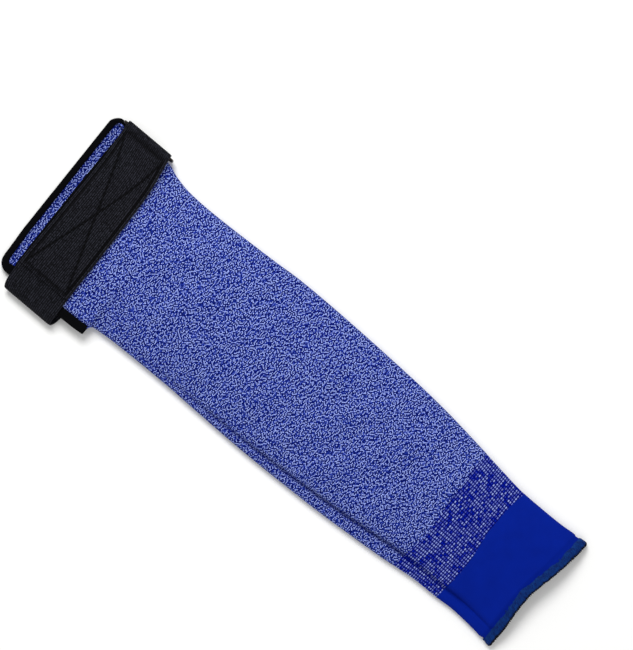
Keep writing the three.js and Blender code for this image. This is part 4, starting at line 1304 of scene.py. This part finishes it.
q, y, arch = stitches_on(flap_lines)
face_z = flap_middle(y.ravel()).reshape(y.shape) + strap_thickness / 2 - groove_depth
sew("strap_stitches", q, y, face_z - stitch_radius * (1 - arch * thread_arch), along_front(y))
q, y, arch = stitches_on(patch_lines)
along_patch = fold_start * (-patch_end - y) / (tape_y - patch_end)
sew("patch_stitches", q, y, stitch_radius * (under_stand - arch * under_arch), along_patch)


# The ring: one piece of round steel wire with a dark nickel finish, bent to a rectangle with round
# corners. It stands on edge beside the fold, with the strap round its upper bar.
ring_bend = 3.4
ring_colour = "#2b2725"
wear_scale = 220.0

# Dark nickel plating: a smooth, brownish black metal, whose gloss varies with wear in patches of about
# 4.5 mm (the scale is per metre, as Object coordinates are)
ring_nickel, tree = new_material("dark_nickel")
place = add(tree, "TexCoord").outputs["Object"]
wear = add(tree, "TexNoise", {"Vector": place, "Scale": wear_scale, "Detail": 4.0})
dull = add(tree, "MapRange", {"Value": wear, "To Min": 0.22, "To Max": 0.42})
shader = add(tree, "BsdfPrincipled", {
    "Base Color": srgb(ring_colour), "Metallic": 1.0, "Roughness": dull})
add(tree, "OutputMaterial", {"Surface": shader})

ring_sides = 18
bend_steps = 12
half_long = (ring_length - ring_wire) / 2 - ring_bend
half_rise = (ring_top - ring_bottom) / 2 - ring_bend
quarter = np.linspace(0, np.pi / 2, bend_steps)
corner_s = np.array([1, -1, -1, 1]) * half_long
corner_z = np.array([1, 1, -1, -1]) * half_rise
turn_angles = quarter[None] + np.arange(4)[:, None] * np.pi / 2
ring_s = (corner_s[:, None] + ring_bend * np.cos(turn_angles)).ravel() + ring_centre_s
ring_z = (corner_z[:, None] + ring_bend * np.sin(turn_angles)).ravel() + (ring_top + ring_bottom) / 2
ring_path = np.stack([ring_s, 0 * ring_s + ring_y, ring_z], axis=-1)[None]
across_ring = np.zeros_like(ring_path) + [0, 1.0, 0]
tube_mesh("ring_wire", ring_path, across_ring, ring_wire / 2, ring_sides, True, ring_nickel,
          ["ring"])


# The ring's tab: a narrower length of the same webbing, sewn to the front under the strap, down over the
# fold and round the ring's lower bar.
wrap_start = 0.45
wrap_turn = 1.15
over_end = 0.12
flat_steps = 16
over_steps = 7
wrap_steps = 18
tab_offset = seam_gap + tab_thickness / 2

tab_flat_y = np.linspace(tab_start_y, front_edge_y - fold_inset, flat_steps)
tab_flat = np.stack([tab_flat_y, front_under(tab_flat_y) + tab_offset], axis=-1)
tab_angle = np.linspace(arc_end, over_end, over_steps)
tab_half = lie_height(ring_centre_s) / 4
tab_over = np.stack([
    ring_edge(ring_centre_s) - fold_width + (fold_width + tab_offset) * np.cos(tab_angle),
    tab_half + (tab_half + tab_offset) * np.sin(tab_angle)], axis=-1)
wrap_angle = np.pi * (wrap_start - wrap_turn * np.linspace(0, 1, wrap_steps))
wrap_reach = ring_wire / 2 + tab_offset
tab_wrap = np.stack([ring_y + wrap_reach * np.cos(wrap_angle),
                     ring_bottom + wrap_reach * np.sin(wrap_angle)], axis=-1)
tab_path = np.concatenate([tab_flat, tab_over, tab_wrap])
tab_centre = np.full(len(tab_path), ring_centre_s)
tab_half_width = np.full(len(tab_path), tab_width / 2)
ribbon("ring_tab_webbing", tab_path, tab_centre, tab_half_width, tab_thickness, web_relief, (0.0, 0.0),
       black_webbing, ["ring_tab"])
